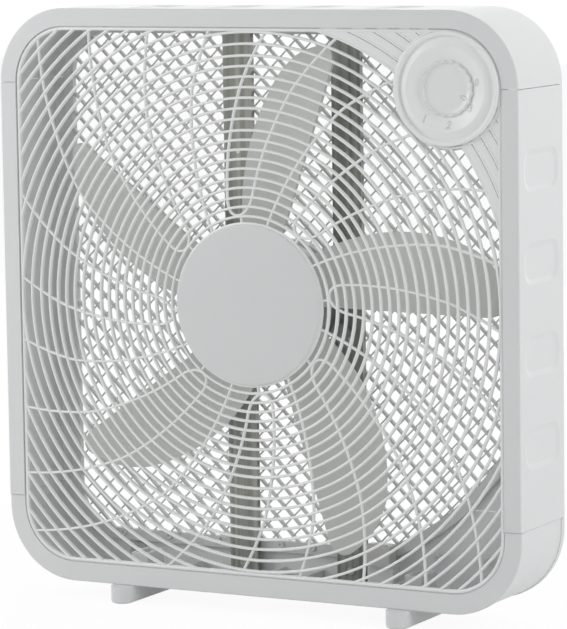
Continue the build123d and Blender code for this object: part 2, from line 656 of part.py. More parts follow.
def make_rear_grille():
    """Two crossing layers of bars inside a plain border, with four bosses that reach into the struts."""
    places = [Pos(x, y) for x in strut_places() for y in (-GRILLE_BOSS_ROW, GRILLE_BOSS_ROW)]
    region = rear_window(LATTICE_BORDER) - [place * Circle(GRILLE_BOSS_RADIUS) for place in places]
    border = slab(rear_window(-GRILLE_LAP) - rear_window(LATTICE_BORDER), REAR_FLANGE_FRONT, LATTICE_FRONT)
    boss = tube(GRILLE_BOSS_RADIUS, SCREW_RADIUS, REAR_FLANGE_FRONT, WEB_BACK)
    solids = [border.solid()] + [(place * boss).solid() for place in places]
    solids += lattice_layer(region, LATTICE_ANGLE, REAR_FLANGE_FRONT, LATTICE_MIDDLE)
    solids += lattice_layer(region, -LATTICE_ANGLE, LATTICE_MIDDLE, LATTICE_FRONT)
    return Compound(solids)


def make_strut(x):
    """A steel channel from the base to the top cover, open to the rear, drilled for its screws."""
    low = CAVITY_BOTTOM + STRUT_END_GAP
    high = CAVITY_TOP - STRUT_END_GAP
    half = STRUT_WIDTH / 2
    strut = block(x - half, x + half, low, high, STRUT_BACK, STRUT_FRONT)
    strut -= block(x - half + STRUT_SHEET, x + half - STRUT_SHEET, low, high, STRUT_BACK, WEB_BACK)
    rows = [CAVITY_BOTTOM + STRUT_SCREW_HEIGHT, CAVITY_TOP - STRUT_SCREW_HEIGHT]
    rows += [-GRILLE_BOSS_ROW, GRILLE_BOSS_ROW, -EAR_ROW, EAR_ROW]
    return strut - [disc(SCREW_RADIUS, WEB_BACK, STRUT_FRONT, x, row) for row in rows]


def make_strut_screws():
    """The screws that hold the struts' ends to the bosses of the base and the top cover."""
    rows = (CAVITY_BOTTOM + STRUT_SCREW_HEIGHT, CAVITY_TOP - STRUT_SCREW_HEIGHT)
    length = STRUT_SHEET + SCREW_BITE
    return Compound([screw(x, y, STRUT_FRONT, 1, length).solid() for x in strut_places() for y in rows])


def make_rear_grille_screws():
    """The screws through the rear grille's bosses into the struts."""
    rows = (-GRILLE_BOSS_ROW, GRILLE_BOSS_ROW)
    length = STRUT_FRONT - REAR_FLANGE_FRONT
    heads = [screw(x, y, REAR_FLANGE_FRONT, -1, length) for x in strut_places() for y in rows]
    return Compound([head.solid() for head in heads])


def make_motor_screws():
    """The screws that hold the motor's ears to the struts."""
    length = EAR_DEPTH + STRUT_SHEET
    front = MOTOR_BACK + EAR_DEPTH
    heads = [screw(x, y, front, 1, length) for x in strut_places() for y in (-EAR_ROW, EAR_ROW)]
    return Compound([head.solid() for head in heads])


def make_bell(back, front, plate_low, plate_high, boss_low, boss_high):
    """One end shell of the motor: a rim, an end plate and the boss for its bearing."""
    bell = tube(MOTOR_RADIUS, MOTOR_RADIUS - MOTOR_WALL, back, front)
    bell += disc(MOTOR_RADIUS, plate_low, plate_high)
    bell += disc(BEARING_RADIUS + BEARING_BOSS_WALL, boss_low, boss_high)
    return bell - disc(BEARING_RADIUS, boss_low, boss_high)


def make_motor_front_bell():
    """The motor's front shell."""
    plate = (MOTOR_FRONT - MOTOR_WALL, MOTOR_FRONT)
    boss = (BOSS_FRONT - BEARING_LENGTH, BOSS_FRONT)
    return make_bell(STATOR_FRONT, MOTOR_FRONT, *plate, *boss)


def make_motor_rear_bell():
    """The motor's rear shell, with four ears that rest on the struts."""
    plate = (MOTOR_BACK, MOTOR_BACK + MOTOR_WALL)
    boss = (BOSS_BACK, BOSS_BACK + BEARING_LENGTH)
    ears = []
    inner = MOTOR_RADIUS - MOTOR_WALL
    for x in strut_places():
        for y in (-EAR_ROW, EAR_ROW):
            ear = make_hull([Circle(EAR_RADIUS).edge().moved(Pos(x, y)), Circle(EAR_RADIUS).edge()])
            ears.append(slab(ear - Circle(inner), MOTOR_BACK, MOTOR_BACK + EAR_DEPTH))
    bell = make_bell(MOTOR_BACK, STATOR_BACK, *plate, *boss) + ears
    holes = [(x, y) for x in strut_places() for y in (-EAR_ROW, EAR_ROW)]
    return bell - [disc(SCREW_RADIUS, MOTOR_BACK, MOTOR_BACK + EAR_DEPTH, x, y) for x, y in holes]


def slot_places(radius):
    """Round bars at the stator's slots."""
    step = 360 / STATOR_SLOTS
    points = [polar(STATOR_SLOT_CIRCLE, step * index) for index in range(STATOR_SLOTS)]
    return [disc(radius, STATOR_BACK - WINDING_DEPTH, STATOR_FRONT + WINDING_DEPTH, *point) for point in points]


def make_stator_core():
    """The stack of steel sheets that the two bells clamp, with slots for the winding."""
    return tube(MOTOR_RADIUS, STATOR_BORE, STATOR_BACK, STATOR_FRONT) - slot_places(STATOR_SLOT_RADIUS)


def make_stator_winding():
    """The winding: a ring of end turns on each face of the stack, joined through the slots."""
    reach = STATOR_SLOT_RADIUS - WINDING_GAP
    outer = STATOR_SLOT_CIRCLE + reach
    inner = STATOR_SLOT_CIRCLE - reach
    winding = tube(outer, inner, STATOR_FRONT + WINDING_GAP, STATOR_FRONT + WINDING_DEPTH)
    winding += tube(outer, inner, STATOR_BACK - WINDING_DEPTH, STATOR_BACK - WINDING_GAP)
    return winding + slot_places(reach)


def make_bearing(low):
    """A plain sleeve bearing for the motor shaft."""
    return tube(BEARING_RADIUS, SHAFT_RADIUS + SHAFT_GAP, low, low + BEARING_LENGTH)


def make_rotor_core():
    """The rotor's stack on the shaft."""
    return tube(STATOR_BORE - ROTOR_AIR_GAP, SHAFT_RADIUS, STATOR_BACK, STATOR_FRONT)


def make_motor_shaft():
    """The shaft through both bearings and the impeller."""
    return disc(SHAFT_RADIUS, BOSS_BACK, IMPELLER_FRONT + SHAFT_END_PROUD)


def make_impeller_nut():
    """The nut on the shaft's front end, in the hub's pocket."""
    hexagon = RegularPolygon(NUT_FLATS / 2, 6, major_radius=False) - Circle(SHAFT_RADIUS)
    return slab(hexagon, NUT_BACK, IMPELLER_FRONT)


def make_blade():
    """One paddle blade: a swept front view cut from a pitched and cambered sheet."""
    root = polar(BLADE_ROOT_RADIUS, 0)
    tip = polar(BLADE_TIP_RADIUS, 0)
    shoulder = polar(BLADE_TIP_RADIUS, BLADE_TIP_SPAN)
    middle = polar(BLADE_MIDDLE_RADIUS, BLADE_MIDDLE_SPAN)
    inner = polar(BLADE_ROOT_RADIUS, BLADE_ROOT_SPAN)
    outline = Line(root, tip)
    outline += ThreePointArc(tip, polar(BLADE_TIP_RADIUS, BLADE_TIP_SPAN / 2), shoulder)
    outline += ThreePointArc(shoulder, middle, inner)
    outline += Line(inner, root)
    plan = make_face(outline)
    corners = plan.vertices().sort_by_distance(tip)
    plan = fillet(corners[0], BLADE_TIP_ROUND)
    plan = fillet(plan.vertices().sort_by_distance(shoulder)[0], BLADE_SHOULDER_ROUND)
    level = (IMPELLER_BACK + IMPELLER_FRONT) / 2
    margin = BLADE_RISE / 2
    run = margin * BLADE_CHORD / BLADE_RISE
    front = (-run, level + BLADE_RISE / 2 + margin)
    centre = (BLADE_CHORD / 2, level - BLADE_CAMBER)
    back = (BLADE_CHORD + run, level - BLADE_RISE / 2 - margin)
    sheet = extrude(Plane.YZ * SlotArc(ThreePointArc(front, centre, back), BLADE_THICKNESS), amount=FAR)
    return slab(plan, REAR, FRONT) & sheet


def make_impeller():
    """The hub and its blades, bored for the shaft, with a pocket for the nut."""
    hub = disc(IMPELLER_HUB_RADIUS, IMPELLER_BACK, IMPELLER_FRONT)
    hub = fillet(hub.edges().group_by(Axis.Z)[-1], IMPELLER_HUB_ROUND)
    blade = make_blade()
    step = 360 / BLADE_COUNT
    hub += [Rot(0, 0, BLADE_ANGLE + step * index) * blade for index in range(BLADE_COUNT)]
    return hub - [disc(SHAFT_RADIUS, REAR, FRONT), disc(NUT_POCKET_RADIUS, NUT_BACK, FRONT)]


def make_foot(x):
    """A foot that runs from front to back under the base, with a peg in the base's socket."""
    sole = Plane.XZ * SlotOverall(FOOT_LENGTH, FOOT_WIDTH, rotation=90)
    foot = Pos(0, BOTTOM) * extrude(sole, amount=FOOT_HEIGHT)
    foot = fillet(foot.edges().group_by(Axis.Y)[0], FOOT_ROUND)
    half_wide = PEG_WIDTH / 2
    half_long = PEG_LENGTH / 2
    foot += block(-half_wide, half_wide, BOTTOM, CAVITY_BOTTOM + PEG_HEIGHT, -half_long, half_long)
    return Pos(x, 0) * foot


def make_run_capacitor():
    """The motor's run capacitor, on its ledge in the base."""
    half = CAPACITOR_LENGTH / 2
    low = CAVITY_BOTTOM + LEDGE_HEIGHT
    case = block(CAPACITOR_X - half, CAPACITOR_X + half, low, low + CAPACITOR_HEIGHT, 0, CAPACITOR_WIDTH)
    case = fillet(case.edges().group_by(Axis.Y)[-1], CAPACITOR_ROUND)
    return Pos(0, 0, LATTICE_FRONT + STRUT_REAR_GAP) * case


def make_cord_gland():
    """The grommet in the base's rear flange."""
    body = disc(GLAND_HOLE_RADIUS, REAR, REAR_FLANGE_FRONT + GLAND_COLLAR_DEPTH)
    body += disc(GLAND_COLLAR_RADIUS, REAR_FLANGE_FRONT, REAR_FLANGE_FRONT + GLAND_COLLAR_DEPTH)
    body -= disc(GLAND_BORE_RADIUS, REAR, REAR_FLANGE_FRONT + GLAND_COLLAR_DEPTH)
    return Pos(GLAND_X, BOTTOM + GLAND_HEIGHT) * body


def make_pieces():
    """Every piece of the fan by its name, in the front view's frame."""
    case = make_case(FRONT)
    return {
        "top_cover": make_top_cover(case),
        "bottom_base": make_bottom_base(make_case(FRONT - BASE_SET_BACK)),
        "left_side_panel": make_side_panel(case, -1),
        "right_side_panel": make_side_panel(case, 1),
        "front_grille": make_front_grille(),
        "hub_disc": make_hub_disc(),
        "dial_dish": make_dial_dish(),
        "rotary_switch": make_rotary_switch(),
        "switch_nut": make_switch_nut(),
        "switch_shaft": make_switch_shaft(),
        "control_knob": make_control_knob(),
        "rear_grille": make_rear_grille(),
        "rear_grille_screws": make_rear_grille_screws(),
        "left_strut": make_strut(-STRUT_X),
        "right_strut": make_strut(STRUT_X),
        "strut_screws": make_strut_screws(),
        "motor_front_bell": make_motor_front_bell(),
        "motor_rear_bell": make_motor_rear_bell(),
        "motor_screws": make_motor_screws(),
        "stator_core": make_stator_core(),
        "stator_winding": make_stator_winding(),
        "front_bearing": make_bearing(BOSS_FRONT - BEARING_LENGTH),
        "rear_bearing": make_bearing(BOSS_BACK),
        "rotor_core": make_rotor_core(),
        "motor_shaft": make_motor_shaft(),
        "impeller": make_impeller(),
        "impeller_nut": make_impeller_nut(),
        "left_foot": make_foot(-FOOT_X),
        "right_foot": make_foot(FOOT_X),
        "run_capacitor": make_run_capacitor(),
        "cord_gland": make_cord_gland(),
    }


os.makedirs("parts", exist_ok=True)
for name, piece in make_pieces().items():
    export_step(PLACE * piece, f"parts/{name}.step")
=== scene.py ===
import logging
import math
from dataclasses import dataclass, field
from enum import Enum
from typing import Callable, Sequence

import bmesh
import bpy
from mathutils import Matrix, Vector


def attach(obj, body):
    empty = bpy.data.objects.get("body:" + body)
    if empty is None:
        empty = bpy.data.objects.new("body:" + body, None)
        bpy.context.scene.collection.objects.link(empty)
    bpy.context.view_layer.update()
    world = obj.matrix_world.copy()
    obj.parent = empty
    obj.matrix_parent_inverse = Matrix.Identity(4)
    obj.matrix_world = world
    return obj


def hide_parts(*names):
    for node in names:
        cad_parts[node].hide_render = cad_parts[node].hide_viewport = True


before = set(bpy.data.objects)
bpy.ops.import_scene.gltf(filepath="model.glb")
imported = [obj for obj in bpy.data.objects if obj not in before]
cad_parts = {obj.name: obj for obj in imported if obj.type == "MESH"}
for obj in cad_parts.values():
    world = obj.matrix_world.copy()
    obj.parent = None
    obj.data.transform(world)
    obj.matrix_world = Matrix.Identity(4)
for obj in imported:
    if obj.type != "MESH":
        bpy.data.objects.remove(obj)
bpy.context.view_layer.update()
LOG = logging.getLogger("box_fan")

# Meshes are drawn in the fan's front view in millimetres: x to the right, y up and z to the viewer, with
# the rotor axis through the origin. PLACE carries that view into the shared frame.
AXIS_HEIGHT = 0.2825
PLACE = Matrix(((0.001, 0, 0, 0), (0, 0, -0.001, 0), (0, 0.001, 0, AXIS_HEIGHT), (0, 0, 0, 1)))
AXIS = Vector((0.0, 0.0, 1.0))

# A rounded bar's shoulder and brow lie these shares of its width below its crest, and the brow lies the last
# share of its half width from the middle.
BAR_SHOULDER, BAR_BROW, BROW_OUT = 0.34, 0.08, 0.6

Pair = tuple[float, float]
Triple = tuple[float, float, float]
Profile = tuple[Pair, ...]
Section = list[Pair]
Mesh = bmesh.types.BMesh
Tree = bpy.types.NodeTree
Socket = bpy.types.NodeSocket


class Body(Enum):
    """The bodies that move as one."""

    CASE = "case"
    ROTOR = "rotor"
    KNOB = "knob"


class Texture(Enum):
    """The surface that a finish shows close by."""

    MOULDED = "moulded"
    SHEET = "sheet"


@dataclass(frozen=True)
class Finish:
    """One finish of the fan: its colour, gloss and the small unevenness of its surface."""

    name: str
    slot: str
    colour: Triple
    roughness: float
    metallic: float = 0.0
    coat: float = 0.0
    texture: Texture = Texture.MOULDED
    scale: float = 900.0
    spread: float = 0.05
    relief: float = 0.04
    dust: float = 0.10
    stretch: Triple = (1.0, 1.0, 1.0)


class Palette:
    """The fan's finishes and the effects that they share."""

    CASE = Finish("case_moulding", "case_plastic", (0.79, 0.80, 0.805), 0.46)
    GRILLE = Finish("grille_moulding", "grille_plastic", (0.90, 0.91, 0.91), 0.28, coat=0.4)
    REAR = Finish("lattice_moulding", "grille_plastic", (0.66, 0.67, 0.66), 0.48)
    DISC = Finish("disc_moulding", "disc_plastic", (0.75, 0.76, 0.765), 0.44)
    DIAL = Finish("dial_moulding", "dial_plastic", (0.93, 0.94, 0.94), 0.30)
    # The figures are raised outlines in the dial's own plastic; their darker grey is painted shade along
    # their edges.
    FIGURE_PAINTED_SHADE = Finish("figure_painted_shade", "dial_plastic", (0.66, 0.67, 0.67), 0.36)
    # The pointer is a raised line in the knob's own plastic; its darker grey is painted shade along its
    # edges.
    POINTER_PAINTED_SHADE = Finish("pointer_painted_shade", "knob_plastic", (0.56, 0.565, 0.57), 0.36)
    KNOB = Finish("knob_moulding", "knob_plastic", (0.88, 0.885, 0.885), 0.24, coat=0.25, relief=0.015)
    BLADE = Finish("blade_moulding", "blade_plastic", (0.575, 0.585, 0.565), 0.38, scale=420.0)
    SWITCH = Finish("switch_moulding", "switch_plastic", (0.05, 0.05, 0.055), 0.5)
    CAPACITOR = Finish("capacitor_moulding", "capacitor_plastic", (0.62, 0.62, 0.61), 0.4)
    RUBBER = Finish("gland_rubber", "gland_rubber", (0.52, 0.53, 0.53), 0.7)
    STRUT = Finish("galvanised_sheet", "strut_steel", (0.30, 0.305, 0.275), 0.45, metallic=0.5,
                   texture=Texture.SHEET, scale=190.0, spread=0.95, stretch=(1.0, 1.0, 0.01))
    SCREW = Finish("zinc_plate", "screw_steel", (0.62, 0.62, 0.60), 0.34, metallic=1.0,
                   texture=Texture.SHEET, scale=700.0, spread=0.14)
    SHAFT = Finish("ground_steel", "shaft_steel", (0.60, 0.60, 0.60), 0.25, metallic=1.0,
                   texture=Texture.SHEET, scale=1500.0, spread=0.10, stretch=(1.0, 0.05, 1.0))
    MOTOR = Finish("cast_shell", "motor_metal", (0.46, 0.46, 0.48), 0.5, metallic=0.7, scale=600.0,
                   spread=0.14, relief=0.2)
    CORE = Finish("stacked_sheets", "core_steel", (0.22, 0.21, 0.22), 0.55, metallic=0.6,
                  texture=Texture.SHEET, scale=900.0, spread=0.3, stretch=(0.03, 1.0, 0.03))
    WINDING = Finish("varnished_wire", "winding_copper", (0.52, 0.22, 0.10), 0.3, metallic=0.8,
                     texture=Texture.SHEET, scale=1200.0, spread=0.3)
    BRONZE = Finish("sintered_bronze", "bearing_bronze", (0.50, 0.36, 0.17), 0.5, metallic=0.9, spread=0.12)

    CLOUD_SCALE = 14.0
    GRAIN_SHARE = 0.35
    GRAIN_GLOSS = 0.16
    STREAK_GLOSS = 0.5
    DUST_SCALE = 60.0
    DUST_COLOUR = (0.62, 0.60, 0.56, 1.0)
    COAT_ROUGHNESS = 0.12
    RELIEF_DEPTH = 0.0004

    def __init__(self) -> None:
        """Builds the shared groups and starts an empty store of materials."""
        self.groups = {Texture.MOULDED: self.moulded_grain(), Texture.SHEET: self.sheet_streaks()}
        self.dust = self.settled_dust()
        self.store: dict[str, bpy.types.Material] = {}

    @staticmethod
    def new_group(name: str, inputs: Sequence[tuple[str, float]], outputs: Sequence[str]) -> Tree:
        """Starts a shader group with named float sockets.

        Args:
            name: the group's name.
            inputs: pairs of a socket's name and its default.
            outputs: the names of the values that it puts out.

        Returns:
            The group with its two end nodes.
        """
        tree = bpy.data.node_groups.new(name, "ShaderNodeTree")
        for label, default in inputs:
            socket = tree.interface.new_socket(label, in_out="INPUT", socket_type="NodeSocketFloat")
            socket.default_value = default
        for label in outputs:
            tree.interface.new_socket(label, in_out="OUTPUT", socket_type="NodeSocketFloat")
        tree.nodes.new("NodeGroupInput")
        tree.nodes.new("NodeGroupOutput")
        return tree

    @staticmethod
    def noise(tree: Tree, scale: float, detail: float) -> bpy.types.Node:
        """Adds a noise of a scale and detail that reads Object coordinates.

        Args:
            tree: the tree that it goes in.
            scale: how fine it is.
            detail: how many octaves it has.

        Returns:
            The noise node.
        """
        place = tree.nodes.new("ShaderNodeTexCoord")
        node = tree.nodes.new("ShaderNodeTexNoise")
        node.inputs["Scale"].default_value = scale
        node.inputs["Detail"].default_value = detail
        tree.links.new(place.outputs["Object"], node.inputs["Vector"])
        return node

    @staticmethod
    def math(tree: Tree, operation: str, *values: object) -> Socket:
        """Adds one step of arithmetic.

        Args:
            tree: the tree that it goes in.
            operation: the Math node's operation.
            values: the sockets or numbers that it takes.

        Returns:
            The result's socket.
        """
        node = tree.nodes.new("ShaderNodeMath")
        node.operation = operation
        for socket, value in zip(node.inputs, values):
            if isinstance(value, (int, float)):
                socket.default_value = value
            else:
                tree.links.new(value, socket)
        return node.outputs[0]

    def moulded_grain(self) -> Tree:
        """Builds the grain of a moulded face: a cloudy tone, an uneven gloss and a fine relief.

        Returns:
            The group.
        """
        sockets = [("Scale", 900.0), ("Spread", 0.05)]
        tree = self.new_group("moulded_grain", sockets, ("Tone", "Gloss", "Height"))
        start, end = tree.nodes["Group Input"], tree.nodes["Group Output"]
        cloud = self.noise(tree, self.CLOUD_SCALE, 3.0)
        grain = self.noise(tree, 900.0, 2.0)
        tree.links.new(start.outputs["Scale"], grain.inputs["Scale"])
        mixed = self.math(tree, "MULTIPLY_ADD", grain.outputs["Fac"], self.GRAIN_SHARE, cloud.outputs["Fac"])
        centred = self.math(tree, "SUBTRACT", mixed, (1 + self.GRAIN_SHARE) / 2)
        swing = self.math(tree, "MULTIPLY", centred, start.outputs["Spread"])
        tree.links.new(self.math(tree, "ADD", swing, 1.0), end.inputs["Tone"])
        tree.links.new(self.math(tree, "MULTIPLY", centred, self.GRAIN_GLOSS), end.inputs["Gloss"])
        tree.links.new(grain.outputs["Fac"], end.inputs["Height"])
        return tree

    def sheet_streaks(self) -> Tree:
        """Builds the streaks of rolled sheet: noise drawn out along one direction.

        Returns:
            The group.
        """
        sockets = [("Scale", 260.0), ("Spread", 0.2), ("Along X", 1.0), ("Along Y", 1.0), ("Along Z", 1.0)]
        tree = self.new_group("sheet_streaks", sockets, ("Tone", "Gloss", "Height"))
        start, end = tree.nodes["Group Input"], tree.nodes["Group Output"]
        place = tree.nodes.new("ShaderNodeTexCoord")
        drawn = tree.nodes.new("ShaderNodeVectorMath")
        drawn.operation = "MULTIPLY"
        axes = tree.nodes.new("ShaderNodeCombineXYZ")
        for socket, label in zip(axes.inputs, ("Along X", "Along Y", "Along Z")):
            tree.links.new(start.outputs[label], socket)
        tree.links.new(place.outputs["Object"], drawn.inputs[0])
        tree.links.new(axes.outputs[0], drawn.inputs[1])
        streak = tree.nodes.new("ShaderNodeTexNoise")
        streak.inputs["Detail"].default_value = 4.0
        tree.links.new(drawn.outputs[0], streak.inputs["Vector"])
        tree.links.new(start.outputs["Scale"], streak.inputs["Scale"])
        centred = self.math(tree, "SUBTRACT", streak.outputs["Fac"], 0.5)
        swing = self.math(tree, "MULTIPLY", centred, start.outputs["Spread"])
        tree.links.new(self.math(tree, "MULTIPLY_ADD", swing, 2.0, 1.0), end.inputs["Tone"])
        tree.links.new(self.math(tree, "MULTIPLY", centred, self.STREAK_GLOSS), end.inputs["Gloss"])
        tree.links.new(streak.outputs["Fac"], end.inputs["Height"])
        return tree

    def settled_dust(self) -> Tree:
        """Builds a thin dust that lies on faces that look up, in patches.

        Returns:
            The group.
        """
        tree = self.new_group("settled_dust", [("Amount", 0.1)], ("Mask",))
        start, end = tree.nodes["Group Input"], tree.nodes["Group Output"]
        shape = tree.nodes.new("ShaderNodeNewGeometry")
        split = tree.nodes.new("ShaderNodeSeparateXYZ")
        tree.links.new(shape.outputs["Normal"], split.inputs[0])
        facing = self.math(tree, "MAXIMUM", split.outputs["Z"], 0.0)
        patch = self.noise(tree, self.DUST_SCALE, 5.0)
        lying = self.math(tree, "MULTIPLY", facing, patch.outputs["Fac"])
        tree.links.new(self.math(tree, "MULTIPLY", lying, start.outputs["Amount"]), end.inputs["Mask"])
        return tree

    def material(self, finish: Finish) -> bpy.types.Material:
        """Makes a finish's material once and keeps it.

        Args:
            finish: the finish.

        Returns:
            Its material.
        """
        if finish.name in self.store:
            return self.store[finish.name]
        material = bpy.data.materials.new(finish.name)
        material.use_nodes = True
        tree = material.node_tree
        shader = tree.nodes["Principled BSDF"]
        shader.inputs["Metallic"].default_value = finish.metallic
        shader.inputs["Coat Weight"].default_value = finish.coat
        shader.inputs["Coat Roughness"].default_value = self.COAT_ROUGHNESS
        grain = tree.nodes.new("ShaderNodeGroup")
        grain.node_tree = self.groups[finish.texture]
        grain.inputs["Scale"].default_value = finish.scale
        grain.inputs["Spread"].default_value = finish.spread
        if finish.texture is Texture.SHEET:
            for label, value in zip(("Along X", "Along Y", "Along Z"), finish.stretch):
                grain.inputs[label].default_value = value
        toned = self.mix(tree, "MULTIPLY", (*finish.colour, 1.0), grain.outputs["Tone"])
        toned.node.inputs["Factor"].default_value = 1.0
        dust = tree.nodes.new("ShaderNodeGroup")
        dust.node_tree = self.dust
        dust.inputs["Amount"].default_value = finish.dust
        dusty = self.mix(tree, "MIX", toned, self.DUST_COLOUR)
        tree.links.new(dust.outputs["Mask"], dusty.node.inputs["Factor"])
        tree.links.new(dusty, shader.inputs["Base Color"])
        gloss = self.math(tree, "ADD", grain.outputs["Gloss"], finish.roughness)
        tree.links.new(gloss, shader.inputs["Roughness"])
        bump = tree.nodes.new("ShaderNodeBump")
        bump.inputs["Strength"].default_value = finish.relief
        bump.inputs["Distance"].default_value = self.RELIEF_DEPTH
        tree.links.new(grain.outputs["Height"], bump.inputs["Height"])
        tree.links.new(bump.outputs["Normal"], shader.inputs["Normal"])
        self.store[finish.name] = material
        return material

    @staticmethod
    def mix(tree: Tree, blend: str, first: object, second: object) -> Socket:
        """Adds a colour mix of two colours or sockets and returns its result.

        Args:
            tree: the tree that it goes in.
            blend: how the two are blended.
            first: a colour or a socket.
            second: a colour or a socket.

        Returns:
            The result's socket.
        """
        node = tree.nodes.new("ShaderNodeMix")
        node.data_type = "RGBA"
        node.blend_type = blend
        sockets = [socket for socket in node.inputs if socket.type == "RGBA"]
        for socket, value in zip(sockets, (first, second)):
            if isinstance(value, tuple):
                socket.default_value = value
            else:
                tree.links.new(value, socket)
        return next(socket for socket in node.outputs if socket.type == "RGBA")


def polar(radius: float, degrees: float) -> Vector:
    """A point of the front view at a radius and an angle from the rotor axis."""
    turn = math.radians(degrees)
    return Vector((radius * math.cos(turn), radius * math.sin(turn), 0.0))


def round_bar(width: float, depth: float) -> Section:
    """The section of a bar with a rounded front: pairs across it and up from its crest.

    Args:
        width: how wide it is.
        depth: how deep it is.

    Returns:
        The section, from its back left corner to its back right one.
    """
    half, shoulder, brow = width / 2, BAR_SHOULDER * width, BAR_BROW * width
    out = BROW_OUT * half
    front = [(-half, -shoulder), (-out, -brow), (0.0, 0.0), (out, -brow), (half, -shoulder)]
    return [(-half, -depth), *front, (half, -depth)]


@dataclass(frozen=True)
class Window:
    """A rounded rectangle of the front view."""

    left: float
    right: float
    low: float
    high: float
    radius: float

    def inset(self, by: float) -> "Window":
        """The same window drawn in on all sides."""
        return Window(self.left + by, self.right - by, self.low + by, self.high - by, self.radius - by)

    def holds(self, point: Vector) -> bool:
        """Whether a point lies inside.

        Args:
            point: the point.

        Returns:
            True inside and on the edge.
        """
        across = max(self.left + self.radius - point.x, point.x - self.right + self.radius)
        upward = max(self.low + self.radius - point.y, point.y - self.high + self.radius)
        beyond = math.hypot(max(across, 0.0), max(upward, 0.0))
        return beyond + min(max(across, upward), 0.0) <= self.radius

    def outline(self, arc_steps: int, side_steps: int) -> list[tuple[Vector, Vector]]:
        """Walks round the window.

        Args:
            arc_steps: stations in each corner.
            side_steps: stations along each straight side.

        Returns:
            Pairs of a point and the direction outwards there.
        """
        radius = self.radius
        corners = [(self.right, self.high, 0), (self.left, self.high, 90), (self.left, self.low, 180),
                   (self.right, self.low, 270)]
        walk = []
        for x, y, start in corners:
            out = polar(radius, start + 45)
            centre = Vector((x - math.copysign(radius, out.x), y - math.copysign(radius, out.y), 0.0))
            for step in range(arc_steps + 1):
                outward = polar(1.0, start + 90 * step / arc_steps)
                walk.append((centre + radius * outward, outward))
        full = []
        for (point, outward), (after, _) in zip(walk, walk[1:] + walk[:1]):
            full.append((point, outward))
            if (after - point).length > 2 * radius * math.pi / 2 / arc_steps:
                full += [(point.lerp(after, step / side_steps), outward) for step in range(1, side_steps)]
        return full


class Loft:
    """A skin that grows loop by loop, by extruding its last edge loop."""

    def __init__(self, mesh: Mesh, points: Sequence[Vector]) -> None:
        """Starts the skin with a closed loop of points.

        Args:
            mesh: the mesh that it goes in.
            points: the loop's points, in order.
        """
        self.mesh = mesh
        self.loop = [mesh.verts.new(point) for point in points]
        self.first = self.edges_of(make=True)

    def edges_of(self, make: bool = False) -> list[bmesh.types.BMEdge]:
        """The edges of the last loop, made new or looked up."""
        pairs = zip(self.loop, self.loop[1:] + self.loop[:1])
        return [self.mesh.edges.new(pair) if make else self.mesh.edges.get(pair) for pair in pairs]

    def grow(self, points: Sequence[Vector]) -> "Loft":
        """Extrudes the last loop and moves it onto new points.

        Args:
            points: the loop's points, in order.

        Returns:
            The skin itself.
        """
        made = bmesh.ops.extrude_edge_only(self.mesh, edges=self.edges_of())["geom"]
        old = set(self.loop)
        mates = {}
        for vert in (item for item in made if isinstance(item, bmesh.types.BMVert)):
            mate = next(edge.other_vert(vert) for edge in vert.link_edges if edge.other_vert(vert) in old)
            mates[mate] = vert
        self.loop = [mates[vert] for vert in self.loop]
        for vert, point in zip(self.loop, points):
            vert.co = point
        return self

    def cap(self, both: bool = True) -> None:
        """Closes the last loop and, where asked, the first one.

        Args:
            both: whether the first loop is closed too.
        """
        bmesh.ops.edgeloop_fill(self.mesh, edges=self.edges_of())
        if both:
            bmesh.ops.edgeloop_fill(self.mesh, edges=self.first)

    def join(self) -> None:
        """Bridges the last loop to the first one."""
        bmesh.ops.bridge_loops(self.mesh, edges=self.edges_of() + self.first)


@dataclass
class Workshop:
    """Makes the fan's pieces and hangs them on its bodies."""

    palette: Palette
    made: int = 0

    def piece(self, name: str, mesh: Mesh, finish: Finish, body: Body = Body.CASE,
              nodes: Sequence[str] = (), smooth: float = 38.0) -> None:
        """Turns a front-view mesh into a piece of the fan.

        Args:
            name: the piece's name.
            mesh: its mesh in millimetres in the front view.
            finish: what it is made of.
            body: the body that it rides on.
            nodes: the solids that it stands for.
            smooth: the angle in degrees above which an edge stays sharp.
        """
        bmesh.ops.recalc_face_normals(mesh, faces=mesh.faces)
        bmesh.ops.transform(mesh, matrix=PLACE, verts=mesh.verts)
        data = bpy.data.meshes.new(name)
        mesh.to_mesh(data)
        mesh.free()
        data.shade_smooth()
        data.set_sharp_from_angle(angle=math.radians(smooth))
        data.materials.append(self.palette.material(finish))
        piece = bpy.data.objects.new(name, data)
        bpy.context.scene.collection.objects.link(piece)
        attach(piece, body.value)
        if nodes:
            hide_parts(*nodes)
        self.made += 1
        LOG.info("%s: %d faces on %s", name, len(data.polygons), body.value)

    def dress(self, finish: Finish, *nodes: str) -> None:
        """Gives solids that stay as they are their finish.

        Args:
            finish: the finish.
            nodes: the solids' names.
        """
        for name in nodes:
            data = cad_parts[name].data
            data.materials.clear()
            data.materials.append(self.palette.material(finish))
            LOG.info("%s: dressed in %s", name, finish.name)


def turn_section(mesh: Mesh, section: Section, centre: Vector = Vector(), start: float = 0.0,
                 span: float = 360.0, steps: int = 96) -> None:
    """Spins a closed section of radius and depth pairs about a centre.

    Args:
        mesh: the mesh that it goes in.
        section: pairs of a radius and a depth.
        centre: the middle of the turn.
        start: the angle in degrees where it starts.
        span: the angle that it turns through.
        steps: how many steps it takes.
    """
    ring = [mesh.verts.new(centre + polar(radius, start) + AXIS * depth) for radius, depth in section]
    edges = [mesh.edges.new(pair) for pair in zip(ring, ring[1:] + ring[:1])]
    bmesh.ops.spin(mesh, geom=ring + edges, cent=centre, axis=AXIS, angle=math.radians(span), steps=steps,
                   use_merge=span >= 360.0, use_duplicate=False)


